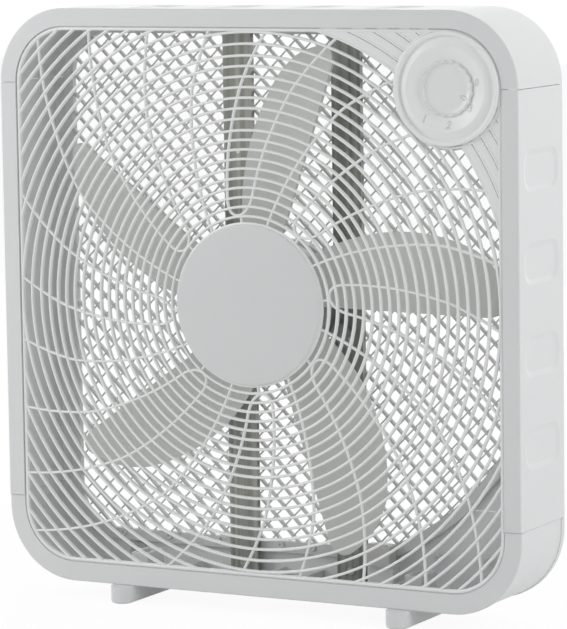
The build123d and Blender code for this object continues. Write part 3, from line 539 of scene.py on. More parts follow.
def sweep(mesh: Mesh, stations: Sequence[tuple[Vector, Vector]], section: Section, closed: bool) -> None:
    """Draws a section through stations, with its ends closed or joined.

    Args:
        mesh: the mesh that it goes in.
        stations: pairs of a point and the direction across the path there.
        section: pairs across the path and up from it.
        closed: whether the last station joins the first one.
    """
    loops = [[point + across * side + AXIS * rise for side, rise in section] for point, across in stations]
    skin = Loft(mesh, loops[0])
    for loop in loops[1:]:
        skin.grow(loop)
    if closed:
        skin.join()
    else:
        skin.cap()


def follow(mesh: Mesh, path: Sequence[Vector], section: Section, closed: bool = False) -> None:
    """Sweeps a section along a path of the front view, which may come back to its start.

    Args:
        mesh: the mesh that it goes in.
        path: the points that the section passes.
        section: pairs across the path and up from it.
        closed: whether the path comes back to its start.
    """
    before, after = [path[-1], *path[:-1]], [*path[1:], path[0]]
    if not closed:
        before[0], after[-1] = path[0], path[-1]
    runs = [end - start for start, end in zip(before, after)]
    stations = [(point, Vector((run.y, -run.x, 0.0)).normalized()) for point, run in zip(path, runs)]
    sweep(mesh, stations, section, closed)


def inside_spans(test: Callable[[float], bool], step: float = 0.25) -> list[Pair]:
    """The spans of angle in degrees where a test holds, the one across zero joined.

    Args:
        test: what holds or fails at an angle.
        step: how far apart in degrees the tested angles are.

    Returns:
        Pairs of a span's start and its length.
    """
    count = round(360 / step)
    flags = [test(index * step) for index in range(count)]
    if all(flags):
        return [(0.0, 360.0)]
    starts = [index for index in range(count) if flags[index] and not flags[index - 1]]
    spans = []
    for start in starts:
        length = next(size for size in range(count) if not flags[(start + size) % count])
        spans.append((start * step, (length - 1) * step))
    return spans


@dataclass
class Dial:
    """The speed dial: its dish in the upper right corner, the figures in it and the knob.

    The profiles of the dish are pairs of how far in from its radius and how far down from its front.
    """

    centre: Vector = field(default_factory=lambda: Vector((194.0, 195.5, 0.0)))
    radius: float = 50.0
    front: float = 50.0
    floor: float = 45.0
    well: float = 33.0
    well_radius: float = 23.0
    well_round: float = 0.3
    bore: float = 4.5
    wall: float = 2.2
    flange_radius: float = 54.0
    flange_front: float = 42.0
    rim: Profile = ((0.0, 1.0), (0.2, 0.4), (0.7, 0.08), (1.2, 0.0), (3.0, 0.0), (3.4, 0.2), (3.7, 0.8))
    band: Profile = ((4.0, 2.6), (4.4, 3.2), (5.1, 3.4), (6.6, 2.9), (8.6, 1.95), (10.6, 0.95), (11.8, 0.4),
                     (12.2, 0.05), (12.6, 0.05))
    bowl: Profile = ((13.0, 0.3), (14.0, 0.7), (16.0, 1.55), (18.0, 2.4), (20.0, 3.25), (21.8, 4.0),
                     (23.2, 4.6), (24.4, 4.92), (26.7, 5.0))
    knob_radius: float = 24.2
    knob_face_radius: float = 21.9
    knob_front: float = 47.6
    knob_sink: float = 2.4
    knob_lift: float = 0.3
    skirt_gap: float = 0.8
    scallops: int = 20
    scallop_steps: int = 10
    pointer_angle: float = -26.0
    pointer_middle: float = 17.2
    pointer_reach: float = 3.2
    pointer_width: float = 1.9
    pointer_slim: float = 0.55
    pointer_steps: int = 28
    pointer_line: Profile = ((-0.3, 0.0), (-0.2, 0.28), (0.2, 0.28), (0.3, 0.0))
    figure_height: float = 9.2
    figure_line: float = 0.24
    figure_slant: float = 0.24
    figures: tuple[tuple[str, float, float], ...] = (("0", 11.0, 28.6), ("3", -38.0, 27.4),
                                                     ("2", -87.0, 31.6), ("1", -129.0, 34.0))
    dot: Pair = (42.5, -74.0)
    dot_drop: float = 2.5
    dot_radii: Pair = (0.55, 0.35)
    dot_rise: float = 0.4

    def fall(self, profile: Profile) -> Section:
        """Turns a profile of the dish into pairs of a radius and a level."""
        return [(self.radius - inward, self.front - drop) for inward, drop in profile]

    def bowl_level(self, radius: float) -> float:
        """How far to the front the bowl stands at a radius.

        Args:
            radius: how far it is from the dial's middle.

        Returns:
            The level there.
        """
        section = self.fall(self.bowl)
        for (far, high), (near, low) in zip(section, section[1:]):
            if near <= radius <= far:
                return low + (high - low) * (radius - near) / (far - near)
        return self.floor

    def dish_section(self) -> Section:
        """The dish from its hidden flange over rim, groove, band and bowl down to the well.

        Returns:
            Pairs of a radius and a level.
        """
        well, under, back = self.well_radius, self.well - self.wall, self.flange_front - self.wall
        flange = [(self.flange_radius, back), (self.flange_radius, self.flange_front),
                  (self.radius, self.flange_front)]
        inside = [(well, self.floor - self.well_round), (well, self.well), (self.bore, self.well),
                  (self.bore, under), (well + self.wall, under), (well + self.wall, back)]
        return flange + self.fall(self.rim + self.band + self.bowl) + inside

    def build_dish(self, shop: Workshop) -> None:
        """Builds the dish.

        Args:
            shop: the workshop that makes the pieces.
        """
        mesh = bmesh.new()
        turn_section(mesh, self.dish_section(), self.centre, steps=128)
        spot = self.centre + polar(*self.dot) + AXIS * (self.front - self.dot_drop)
        foot, top = self.dot_radii
        bmesh.ops.create_cone(mesh, cap_ends=True, segments=12, radius1=foot, radius2=top,
                              depth=self.dot_rise, matrix=Matrix.Translation(spot))
        shop.piece("dial_dish_shell", mesh, Palette.DIAL, nodes=["dial_dish"], smooth=50)

    def build_knob(self, shop: Workshop) -> None:
        """Builds the knob: a scalloped crown round a sunken face, with a pointer on it.

        Args:
            shop: the workshop that makes the pieces.
        """
        mesh = bmesh.new()
        count = self.scallops * self.scallop_steps
        crown, face, back = self.knob_front, self.knob_front - self.knob_sink, self.floor + self.knob_lift

        def loop(radius: float, depth: float, wave: float) -> list[Vector]:
            """One scalloped loop of the knob.

            Args:
                radius: the loop's radius.
                depth: the loop's level.
                wave: how deep the scallops bite there.

            Returns:
                The loop's points.
            """
            points = []
            for index in range(count):
                degrees = 360 * index / count
                bite = wave * abs(math.cos(math.radians(degrees * self.scallops / 2))) ** 3
                points.append(self.centre + polar(radius - bite, degrees) + AXIS * depth)
            return points

        outer, flat, skirt = self.knob_radius, self.knob_face_radius, self.well_radius - self.skirt_gap
        side = ((skirt, back, 0.0), (outer + 0.9, back, 1.0), (outer, crown - 0.8, 1.1))
        brow = ((outer - 0.2, crown - 0.25, 1.1), (outer - 0.6, crown, 0.8), (outer - 1.0, crown - 0.1, 0.4))
        slope = ((flat + 0.5, crown - 1.3, 0.0), (flat + 0.15, face + 0.4, 0.0),
                 (flat - 0.4, face + 0.05, 0.0))
        hollow = ((17.0, face - 0.08, 0.0), (9.0, face - 0.15, 0.0), (2.0, face - 0.18, 0.0))
        skin = Loft(mesh, loop(skirt, face - 1.8, 0.0))
        for radius, depth, wave in side + brow + slope + hollow:
            skin.grow(loop(radius, depth, wave))
        skin.cap()
        shop.piece("speed_knob", mesh, Palette.KNOB, Body.KNOB, ["control_knob"], smooth=45)
        self.build_pointer(shop, face - 0.1)

    def build_pointer(self, shop: Workshop, level: float) -> None:
        """Builds the raised teardrop line on the knob's face that points at the figures, its grey painted
        shade.

        Args:
            shop: the workshop that makes the pieces.
            level: the level of the knob's face.
        """
        mesh = bmesh.new()
        heading = Matrix.Rotation(math.radians(self.pointer_angle), 3, "Z")
        walk = []
        for index in range(self.pointer_steps):
            turn = math.tau * index / self.pointer_steps
            along = self.pointer_middle + self.pointer_reach * math.cos(turn)
            width = self.pointer_slim + (1 - self.pointer_slim) * (1 + math.cos(turn)) / 2
            across = self.pointer_width * math.sin(turn) * width
            walk.append(self.centre + heading @ Vector((along, across, 0.0)))
        follow(mesh, walk, [(side, level + rise) for side, rise in self.pointer_line], closed=True)
        # The pointer's grey is painted shade that stands in for the shade along its raised edges.
        shop.piece("knob_pointer", mesh, Palette.POINTER_PAINTED_SHADE, Body.KNOB, ["control_knob"])

    def build_figures(self, shop: Workshop) -> None:
        """Builds the raised outlines of the figures round the knob, laid on the bowl, in a grey that is
        painted shade.

        Args:
            shop: the workshop that makes the pieces.
        """
        mesh = bmesh.new()
        for label, degrees, radius in self.figures:
            curve = bpy.data.curves.new("figure_" + label, "FONT")
            curve.body, curve.size, curve.shear = label, self.figure_height, self.figure_slant
            curve.fill_mode, curve.bevel_depth, curve.bevel_resolution = "NONE", self.figure_line, 1
            curve.align_x, curve.align_y = "CENTER", "CENTER"
            carrier = bpy.data.objects.new("figure_" + label, curve)
            bpy.context.scene.collection.objects.link(carrier)
            bpy.context.view_layer.update()
            solved = carrier.evaluated_get(bpy.context.evaluated_depsgraph_get())
            line = bpy.data.meshes.new_from_object(solved)
            bpy.data.objects.remove(carrier)
            for vert in line.vertices:
                spot = polar(radius, degrees) + vert.co
                vert.co = self.centre + spot + AXIS * self.bowl_level(spot.xy.length)
            mesh.from_mesh(line)
            bpy.data.meshes.remove(line)
        # The figures' grey is painted shade that stands in for the shade along their raised edges.
        shop.piece("dial_figures", mesh, Palette.FIGURE_PAINTED_SHADE, smooth=60)

    def build(self, shop: Workshop) -> None:
        """Builds the whole dial.

        Args:
            shop: the workshop that makes the pieces.
        """
        self.build_dish(shop)
        self.build_figures(shop)
        self.build_knob(shop)


@dataclass
class FrontGrille:
    """The front grille: rings and swirled ribs on a shallow dome, its rim, seat and corner panel.

    Zones are the first radius, the pitch and the number of rings. The profiles of the seat and the disc are
    pairs of a radius and a height above the seat's front.
    """

    window: Window = Window(-246.0, 246.0, -248.5, 247.5, 52.0)
    dial: Dial = field(default_factory=Dial)
    gap: float = 0.8
    rim_width: float = 3.2
    rim_depth: float = 4.0
    rim_shoulder: float = 0.9
    rim_brow: float = 0.2
    rim_arc_steps: int = 12
    rim_side_steps: int = 10
    lip_front: float = 1.8
    lip_reach: float = 5.0
    flat_radius: float = 253.7
    flat_front: float = 46.0
    dome_rise: float = 9.28
    ring_width: float = 2.4
    ring_depth: float = 3.6
    ring_step: float = 3.0
    rib_width: float = 2.2
    rib_set_back: float = 0.8
    rib_count: int = 24
    rib_group: int = 3
    rib_stride: int = 9
    swirl_from: float = 72.0
    rib_swirl: float = 0.104
    rib_outer: float = 197.0
    single_swirl: float = 0.047
    pair_swirl: float = 0.0265
    rib_start: float = 30.5
    hub_radius: float = 73.5
    bend_start: float = 97.0
    bend_radius: float = 81.0
    bend_steps: int = 14
    ties: tuple[float, ...] = (73.0, 77.0, 81.0)
    panel_set_back: float = 0.75
    panel_depth: float = 2.6
    panel_overlap: float = 0.2
    panel_under: float = 1.0
    panel_step: float = 2.0
    panel_slack: float = 1.0
    groove: float = 0.6
    dial_gap: float = 1.2
    collar_gap: float = 0.4
    collar_width: float = 2.2
    collar_inset: float = 2.0
    collar_step: float = 4.0
    least_arc: float = 0.5
    zones: tuple[tuple[float, float, int], ...] = ((79.7, 8.5, 10), (166.4, 9.35, 7), (232.9, 10.4, 10))
    seat: Profile = ((4.0, -3.4), (73.0, -3.4), (74.2, -2.8), (74.5, -1.2), (74.2, -0.3), (73.4, 0.0),
                     (4.0, 0.0))
    disc: Profile = ((3.0, 0.0), (72.6, 0.0), (72.6, 1.7), (72.45, 2.2), (72.0, 2.65), (71.3, 2.9),
                     (70.2, 2.97), (40.0, 3.0), (3.0, 3.0))
    disc_steps: int = 144

    def crest(self, radius: float) -> float:
        """How far to the front the rings' crests stand at a radius."""
        return self.flat_front + self.dome_rise * max(0.0, 1 - (radius / self.flat_radius) ** 2)

    def radii(self) -> list[float]:
        """The rings' radii, in three zones of pitch."""
        return [first + pitch * index for first, pitch, count in self.zones for index in range(count)]

    def clear(self, point: Vector, inset: float, panel: bool) -> bool:
        """Whether a point lies in the window, clear of the dial and, where asked, of the corner panel.

        Args:
            point: the point.
            inset: how far inside the window it has to lie.
            panel: whether the corner panel counts as covered.

        Returns:
            True where a bar may run.
        """
        if not self.window.inset(inset).holds(point):
            return False
        if (point - self.dial.centre).xy.length < self.dial.radius + self.dial_gap:
            return False
        return not (panel and point.x > 0 and point.y > 0 and point.xy.length > self.flat_radius)

    def build_rings(self, shop: Workshop) -> None:
        """Builds all rings, whole or in arcs between the rim's sides.

        Args:
            shop: the workshop that makes the pieces.
        """
        mesh = bmesh.new()
        inset = self.gap + self.rim_width / 2
        bar = round_bar(self.ring_width, self.ring_depth)
        for radius in self.radii():
            level = self.crest(radius)
            section = [(radius + side, level + rise) for side, rise in bar]
            for start, span in inside_spans(lambda degrees: self.clear(polar(radius, degrees), inset, False)):
                if span > self.least_arc:
                    steps = max(2, math.ceil(span / self.ring_step))
                    turn_section(mesh, section, start=start, span=span, steps=steps)
        shop.piece("front_rings", mesh, Palette.GRILLE, nodes=["front_grille"], smooth=60)

    def rib_point(self, radius: float, direction: float, outer: float) -> Vector:
        """Finds a point on a rib's crest.

        Args:
            radius: how far it lies from the axis.
            direction: where the rib leaves the hub.
            outer: how much faster the rib swirls in the outer rings.

        Returns:
            The point.
        """
        degrees = self.rib_start + direction - self.rib_swirl * (radius - self.swirl_from)
        degrees -= outer * max(0.0, radius - self.rib_outer)
        return polar(radius, degrees) + AXIS * (self.crest(radius) - self.rib_set_back)

    def rib_path(self, start: float, direction: float, outer: float) -> list[Vector]:
        """Walks a rib from a radius to where it meets the rim, the dial or the corner panel.

        Args:
            start: the radius where it starts.
            direction: where the rib leaves the hub.
            outer: how much faster the rib swirls in the outer rings.

        Returns:
            Points along the rib's crest.
        """
        radius, path = start, []
        inset = self.gap + self.rim_width / 2
        while self.clear(self.rib_point(radius, direction, outer), inset, True):
            path.append(self.rib_point(radius, direction, outer))
            radius += 1.0
        return path[:-1:self.rib_stride] + path[-1:]

    def build_ribs(self, shop: Workshop) -> None:
        """Builds the single ribs, the pairs that a bend joins near the hub, and the ties inside ring one.

        Args:
            shop: the workshop that makes the pieces.
        """
        mesh = bmesh.new()
        bar = round_bar(self.rib_width, self.ring_depth - self.rib_set_back)
        step = 360 / self.rib_count
        swirl = self.rib_swirl * (self.bend_start - self.swirl_from)
        for group in range(self.rib_count // self.rib_group):
            turn = group * self.rib_group * step
            follow(mesh, self.rib_path(self.hub_radius, turn, self.single_swirl), bar)
            first = self.rib_path(self.bend_start, turn + step, self.pair_swirl)
            second = self.rib_path(self.bend_start, turn + 2 * step, self.pair_swirl)
            follow(mesh, first[::-1] + self.bend(first, second) + second, bar)
            middle = self.rib_start + turn + 1.5 * step - swirl
            levels = [(radius, self.crest(radius) - self.rib_set_back) for radius in self.ties]
            follow(mesh, [polar(radius, middle) + AXIS * level for radius, level in levels], bar)
        shop.piece("front_ribs", mesh, Palette.GRILLE, nodes=["front_grille"], smooth=60)

    def bend(self, first: Sequence[Vector], second: Sequence[Vector]) -> list[Vector]:
        """The points of the bend between two ribs, on a cubic that leaves both along their run.

        Args:
            first: the first rib's points, from the hub outwards.
            second: the second rib's points, likewise.

        Returns:
            The points between the two ribs' inner ends.
        """
        # The middle of a cubic moves three quarters of the way that its handles are pulled.
        pull = (self.bend_start - self.bend_radius) / 0.75
        start, end = first[0], second[0]
        near = start + (first[0] - first[1]).normalized() * pull
        far = end + (second[0] - second[1]).normalized() * pull
        points = []
        for index in range(1, self.bend_steps):
            part = index / self.bend_steps
            rest = 1 - part
            point = start * rest ** 3 + near * 3 * rest ** 2 * part
            point = point + far * 3 * rest * part ** 2 + end * part ** 3
            point.z = self.crest(point.xy.length) - self.rib_set_back
            points.append(point)
        return points

    def build_rim(self, shop: Workshop) -> None:
        """Builds the rim along the bezel, with the lip that reaches behind it.

        Args:
            shop: the workshop that makes the pieces.
        """
        mesh = bmesh.new()
        half = self.rim_width / 2
        lip, out = half + self.gap + self.lip_reach, BROW_OUT * half
        shoulder, brow = self.rim_shoulder, self.rim_brow
        front = [(-half, -shoulder), (-out, -brow), (0.0, 0.0), (out, -brow), (half, -shoulder)]
        back = [(half, -self.lip_front), (lip, -self.lip_front), (lip, -self.rim_depth)]
        section = [(side, self.flat_front + rise) for side, rise in [(-half, -self.rim_depth)] + front + back]
        stations = self.window.inset(self.gap + half).outline(self.rim_arc_steps, self.rim_side_steps)
        sweep(mesh, stations, section, closed=True)
        shop.piece("front_rim", mesh, Palette.GRILLE, nodes=["front_grille"], smooth=45)

    def build_seat(self, shop: Workshop) -> None:
        """Builds the seat of the hub disc and the collar round the dial.

        Args:
            shop: the workshop that makes the pieces.
        """
        mesh = bmesh.new()
        front = self.crest(self.hub_radius)
        turn_section(mesh, [(radius, front + rise) for radius, rise in self.seat], steps=120)
        reach = self.dial.radius + self.collar_gap + self.collar_width / 2
        bar = round_bar(self.collar_width, self.ring_depth)
        section = [(reach + side, self.flat_front + rise) for side, rise in bar]
        clear, centre = self.window.inset(self.collar_inset), self.dial.centre
        for start, span in inside_spans(lambda degrees: clear.holds(centre + polar(reach, degrees))):
            turn_section(mesh, section, centre, start, span, max(4, math.ceil(span / self.collar_step)))
        shop.piece("front_seat", mesh, Palette.GRILLE, nodes=["front_grille"], smooth=45)

    def in_panel(self, low: float, high: float, degrees: float) -> bool:
        """Whether a strip between two radii has an edge in the closed corner round the dial at an angle.

        Args:
            low: the strip's inner radius.
            high: its outer radius.
            degrees: the angle.

        Returns:
            True where an edge lies there.
        """
        inside = self.window.inset(self.gap + self.rim_width / 2)
        least = self.dial.radius - self.panel_under
        for edge in (polar(low, degrees), polar(high, degrees)):
            clear = (edge - self.dial.centre).xy.length > least
            if clear and min(edge.x, edge.y) > 0 and inside.holds(edge):
                return True
        return False

    def build_panel(self, shop: Workshop) -> None:
        """Builds the strips between the outer rings in the dial's corner, each with a groove outside it.

        Args:
            shop: the workshop that makes the pieces.
        """
        mesh = bmesh.new()
        front = self.flat_front - self.panel_set_back
        back = front - self.panel_depth
        half = self.ring_width / 2
        radii = [radius for radius in self.radii() if radius > self.flat_radius - self.panel_slack]
        for near, far in zip(radii, radii[1:]):
            low, high = near + half - self.panel_overlap, far - half - self.groove
            strip = [(low, front), (high, front), (high, back), (low, back)]
            for start, span in inside_spans(lambda degrees: self.in_panel(low, high, degrees)):
                if span > self.least_arc:
                    steps = max(2, math.ceil(span / self.panel_step))
                    turn_section(mesh, strip, start=start, span=span, steps=steps)
        shop.piece("corner_panel", mesh, Palette.GRILLE, nodes=["front_grille"], smooth=30)

    def build_hub_disc(self, shop: Workshop) -> None:
        """Builds the plain disc on the seat, with a rounded edge.

        Args:
            shop: the workshop that makes the pieces.
        """
        mesh = bmesh.new()
        front, steps = self.crest(self.hub_radius), self.disc_steps
        turn_section(mesh, [(radius, front + rise) for radius, rise in self.disc], steps=steps)
        bmesh.ops.holes_fill(mesh, edges=[edge for edge in mesh.edges if edge.is_boundary], sides=0)
        eye, rise = self.disc[-1]
        cover = [polar(eye, 360 / steps * index) + AXIS * (front + rise) for index in range(steps)]
        Loft(mesh, cover).cap(both=False)
        shop.piece("hub_disc_plate", mesh, Palette.DISC, nodes=["hub_disc"], smooth=40)

    def build(self, shop: Workshop) -> None:
        """Builds the whole front.

        Args:
            shop: the workshop that makes the pieces.
        """
        self.build_rings(shop)
        self.build_ribs(shop)
        self.build_rim(shop)
        self.build_seat(shop)
        self.build_panel(shop)
        self.build_hub_disc(shop)
        self.dial.build(shop)


@dataclass
class RearGrille:
    """The rear lattice: two layers of crossing bars in a border, on bosses behind the struts.

    A boss's edge is cut this far in and this far down, and a stud's profile is pairs of a radius and a height
    above the lattice's front.
    """

    window: Window = Window(-242.0, 242.0, -236.5, 243.5, 46.0)
    gusset: float = 251.0
    pitch: float = 12.7
    bar: float = 2.2
    rear_bar: float = 1.3
    bar_edge: float = 0.32
    bar_overlap: float = 1.5
    longest: int = 380
    sample: int = 2
    fewest: int = 8
    back: float = -44.4
    middle: float = -42.4
    front: float = -38.0
    border: float = 6.0
    border_half: float = 5.5
    border_edge: float = 0.6
    border_inset: float = 0.5
    border_steps: int = 240
    farthest: float = 400.0
    halvings: int = 30
    boss_row: float = 130.5
    boss_x: float = 55.8
    boss_bore: float = 2.1
    boss_radius: float = 5.0
    boss_front: float = -32.0
    boss_edge: Pair = (0.4, 0.6)
    stud_row: float = -234.0
    studs: tuple[float, ...] = (-190.0, -140.0, -88.0, -21.0, 12.0, 88.0, 140.0, 190.0)
    stud_profile: Profile = ((0.4, 0.0), (4.0, 0.0), (3.8, 1.6), (3.3, 2.0), (1.2, 2.0), (0.9, 1.0),
                             (0.4, 1.0))

    def holds(self, point: Vector, inset: float) -> bool:
        """Whether a point lies in the rear opening drawn in by an inset.

        Args:
            point: the point.
            inset: how far the opening is drawn in.

        Returns:
            True inside and on the edge.
        """
        if point.x > 0 > point.y and point.xy.length > self.gusset - inset:
            return False
        return self.window.inset(inset).holds(point)

    def reach(self, degrees: float, inset: float) -> float:
        """How far the opening reaches from the axis in a direction.

        Args:
            degrees: the direction.
            inset: how far the opening is drawn in.

        Returns:
            The distance from the axis.
        """
        low, high = 0.0, self.farthest
        for _ in range(self.halvings):
            middle = (low + high) / 2
            low, high = (middle, high) if self.holds(polar(middle, degrees), inset) else (low, middle)
        return low

    def build_bars(self, shop: Workshop) -> None:
        """Builds the two layers of slanted bars.

        Args:
            shop: the workshop that makes the pieces.
        """
        mesh = bmesh.new()
        count = int(self.longest / self.pitch)
        layers = ((45.0, self.back, self.middle, self.rear_bar), (-45.0, self.middle, self.front, self.bar))
        for heading, low, high, width in layers:
            along, across = polar(1.0, heading), polar(1.0, heading + 90)
            for index in range(-count, count + 1):
                walk = range(-self.longest, self.longest + 1, self.sample)
                spots = [across * self.pitch * index + along * step for step in walk]
                run = [spot for spot in spots if self.holds(spot, self.border - self.bar_overlap)]
                if len(run) < self.fewest:
                    continue
                length = (run[-1] - run[0]).length
                centre = (run[0] + run[-1]) / 2 + AXIS * (low + high) / 2
                size = Matrix.Diagonal((length, width, high - low, 1.0))
                place = Matrix.Translation(centre) @ Matrix.Rotation(math.radians(heading), 4, "Z") @ size
                bmesh.ops.create_cube(mesh, size=1.0, matrix=place)
        bmesh.ops.bevel(mesh, geom=mesh.edges[:], offset=self.bar_edge, affect="EDGES", segments=1,
                        profile=0.5, material=-1)
        shop.piece("rear_bars", mesh, Palette.REAR, nodes=["rear_grille"], smooth=30)

    def build_border(self, shop: Workshop) -> None:
        """Builds the border behind the rear flange, the four bosses and the row of studs.

        Args:
            shop: the workshop that makes the pieces.
        """
        mesh = bmesh.new()
        angles = [360 / self.border_steps * index for index in range(self.border_steps)]
        spots = [polar(self.reach(degrees, self.border_inset), degrees) for degrees in angles]
        half, edge, back, front = self.border_half, self.border_edge, self.back, self.front
        section = [(-half, back), (-half, front - edge), (edge - half, front), (half - edge, front),
                   (half, front - edge), (half, back)]
        follow(mesh, spots, section, closed=True)
        bore, wide, top = self.boss_bore, self.boss_radius, self.boss_front
        inward, down = self.boss_edge
        boss = [(bore, back), (wide, back), (wide, top - down), (wide - inward, top), (bore, top)]
        for x in (-self.boss_x, self.boss_x):
            for y in (-self.boss_row, self.boss_row):
                turn_section(mesh, boss, Vector((x, y, 0.0)), steps=24)
        for x in self.studs:
            turn_section(mesh, [(radius, front + rise) for radius, rise in self.stud_profile],
                         Vector((x, self.stud_row, 0.0)), steps=20)
        shop.piece("rear_border", mesh, Palette.REAR, nodes=["rear_grille"], smooth=35)

    def build(self, shop: Workshop) -> None:
        """Builds the lattice."""
        self.build_bars(shop)
        self.build_border(shop)


@dataclass
class StrutScrews:
    """The screws that hold the struts: pan heads with a cross recess, and their shanks.

    The dome is pairs of a share of the head's radius and how far down from its top.
    """

    x: float = 55.8
    rows: Pair = (-251.5, 248.5)
    seat: float = -31.0
    radius: float = 4.0
    height: float = 2.2
    dome: Profile = ((1.0, 1.2), (0.93, 0.6), (0.76, 0.0))
    slot: float = 0.55
    arm: float = 2.2
    recess_depth: float = 1.0
    recess_turn: float = 20.0
    shank_radius: float = 1.9
    shank_back: float = -38.0
    steps: int = 24

    def add_screw(self, mesh: Mesh, place: Vector) -> None:
        """Adds one screw: a domed head, the cross sunk in its face, and a shank.

        Args:
            mesh: the mesh that it goes in.
            place: the screw's axis in the front view.
        """
        def loop(radius: float, level: float) -> list[Vector]:
            """One round loop of the screw."""
            angles = [360 / self.steps * index for index in range(self.steps)]
            return [place + polar(radius, degrees) + AXIS * level for degrees in angles]

        top = self.seat + self.height
        head = Loft(mesh, loop(self.shank_radius, self.shank_back))
        head.grow(loop(self.shank_radius, self.seat)).grow(loop(self.radius, self.seat))
        for share, drop in self.dome:
            head.grow(loop(share * self.radius, top - drop))
        bmesh.ops.edgeloop_fill(mesh, edges=head.first)
        slot, arm = self.slot, self.arm
        quarter = [Vector((arm, -slot, top)), Vector((arm, slot, top)), Vector((slot, slot, top))]
        turns = [Matrix.Rotation(math.radians(90 * index + self.recess_turn), 3, "Z") for index in range(4)]
        cross = Loft(mesh, [place + turn @ corner for turn in turns for corner in quarter])
        bmesh.ops.bridge_loops(mesh, edges=head.edges_of() + cross.first)
        cross.grow([vert.co - AXIS * self.recess_depth for vert in cross.loop]).cap(both=False)

    def build(self, shop: Workshop) -> None:
        """Builds the four screws.

        Args:
            shop: the workshop that makes the pieces.
        """
        mesh = bmesh.new()
        for x in (-self.x, self.x):
            for y in self.rows:
                self.add_screw(mesh, Vector((x, y, 0.0)))
        shop.piece("strut_screw_heads", mesh, Palette.SCREW, nodes=["strut_screws"], smooth=30)


@dataclass
class Impeller:
    """The rotor's hub and its five swept blades.

    The edge is pairs of a radius and an angle, and the hub's profile pairs of a radius and a level.
    """

    tip_radius: float = 240.0
    root_radius: float = 36.0
    thickness: float = 2.4
    chord: float = 74.0
    rise: float = 26.0
    camber: float = 6.0
    level: float = 21.2
    blades: int = 5
    turn: float = -1.0
    tip_chord: float = 37.0
    tip_round: float = 14.0
    shoulder_round: float = 30.0
    edge: Profile = ((240.0, 9.0), (150.0, 27.0), (36.0, 54.0))
    edge_steps: int = 60
    grid: tuple[int, int] = (26, 14)
    hub: Profile = ((4.0, 8.2), (41.0, 8.2), (41.0, 30.2), (40.6, 32.0), (39.3, 33.5), (37.0, 34.2),
                    (15.0, 34.2), (13.6, 33.9), (13.0, 33.2), (13.0, 27.7), (4.0, 27.7))

    def span_table(self) -> list[Pair]:
        """Pairs of radius and angle along the trailing edge, on the circle through three points.

        Returns:
            The pairs, from the tip to the root.
        """
        first, middle, last = (polar(radius, degrees) for radius, degrees in self.edge)
        a, b = middle - first, last - first
        scale = 2 * (a.x * b.y - a.y * b.x)
        centre = first + Vector((b.y * a.length_squared - a.y * b.length_squared,
                                 a.x * b.length_squared - b.x * a.length_squared, 0.0)) / scale
        spoke, sweep_angle = first - centre, (first - centre).xy.angle_signed((last - centre).xy)
        turns = [-sweep_angle * index / self.edge_steps for index in range(self.edge_steps + 1)]
        points = [centre + Matrix.Rotation(turn, 3, "Z") @ spoke for turn in turns]
        return [(point.xy.length, math.degrees(math.atan2(point.y, point.x))) for point in points]

    def blade_point(self, table: Sequence[Pair], along: float, across: float) -> Vector:
        """Maps a spot of the unit square onto a blade.

        Args:
            table: the trailing edge.
            along: 0 at the root and 1 at the tip.
            across: 0 at the leading edge and 1 at the trailing edge.

        Returns:
            The point in the front view.
        """
        lead = max(0.0, 1 - across * self.tip_chord / self.tip_round)
        trail = max(0.0, 1 - (1 - across) * self.tip_chord / self.shoulder_round)
        tip = self.tip_radius - self.tip_round * (1 - math.sqrt(1 - lead ** 2))
        tip -= self.shoulder_round * (1 - math.sqrt(1 - trail ** 2))
        radius = self.root_radius + (tip - self.root_radius) * along
        after = next((index for index, row in enumerate(table) if row[0] <= radius), len(table) - 1)
        (far, low), (near, high) = table[max(after - 1, 0)], table[after]
        part = 0.0 if far == near else min(max((far - radius) / (far - near), 0.0), 1.0)
        spot = polar(radius, across * (low + (high - low) * part))
        slope = (spot.y - self.chord / 2) / self.chord
        return spot + AXIS * (self.level - self.camber - self.rise * slope + self.camber * slope ** 2)

    def build(self, shop: Workshop) -> None:
        """Builds the hub and the blades as one moulding.

        Args:
            shop: the workshop that makes the pieces.
        """
        mesh = bmesh.new()
        table = self.span_table()
        along, across = self.grid
        bmesh.ops.create_grid(mesh, x_segments=along, y_segments=across, size=0.5)
        for vert in mesh.verts:
            vert.co = self.blade_point(table, vert.co.x + 0.5, vert.co.y + 0.5)
        bmesh.ops.recalc_face_normals(mesh, faces=mesh.faces)
        bmesh.ops.solidify(mesh, geom=mesh.faces[:], thickness=self.thickness)
        blade = mesh.verts[:] + mesh.edges[:] + mesh.faces[:]
        start = Matrix.Rotation(math.radians(self.turn), 3, "Z")
        bmesh.ops.rotate(mesh, cent=Vector(), matrix=start, verts=mesh.verts)
        for index in range(1, self.blades):
            copied = bmesh.ops.duplicate(mesh, geom=blade)["geom"]
            verts = [item for item in copied if isinstance(item, bmesh.types.BMVert)]
            spin = Matrix.Rotation(math.tau * index / self.blades, 3, "Z")
            bmesh.ops.rotate(mesh, cent=Vector(), matrix=spin, verts=verts)
        turn_section(mesh, list(self.hub), steps=64)
        shop.piece("fan_blades", mesh, Palette.BLADE, Body.ROTOR, ["impeller"], smooth=40)


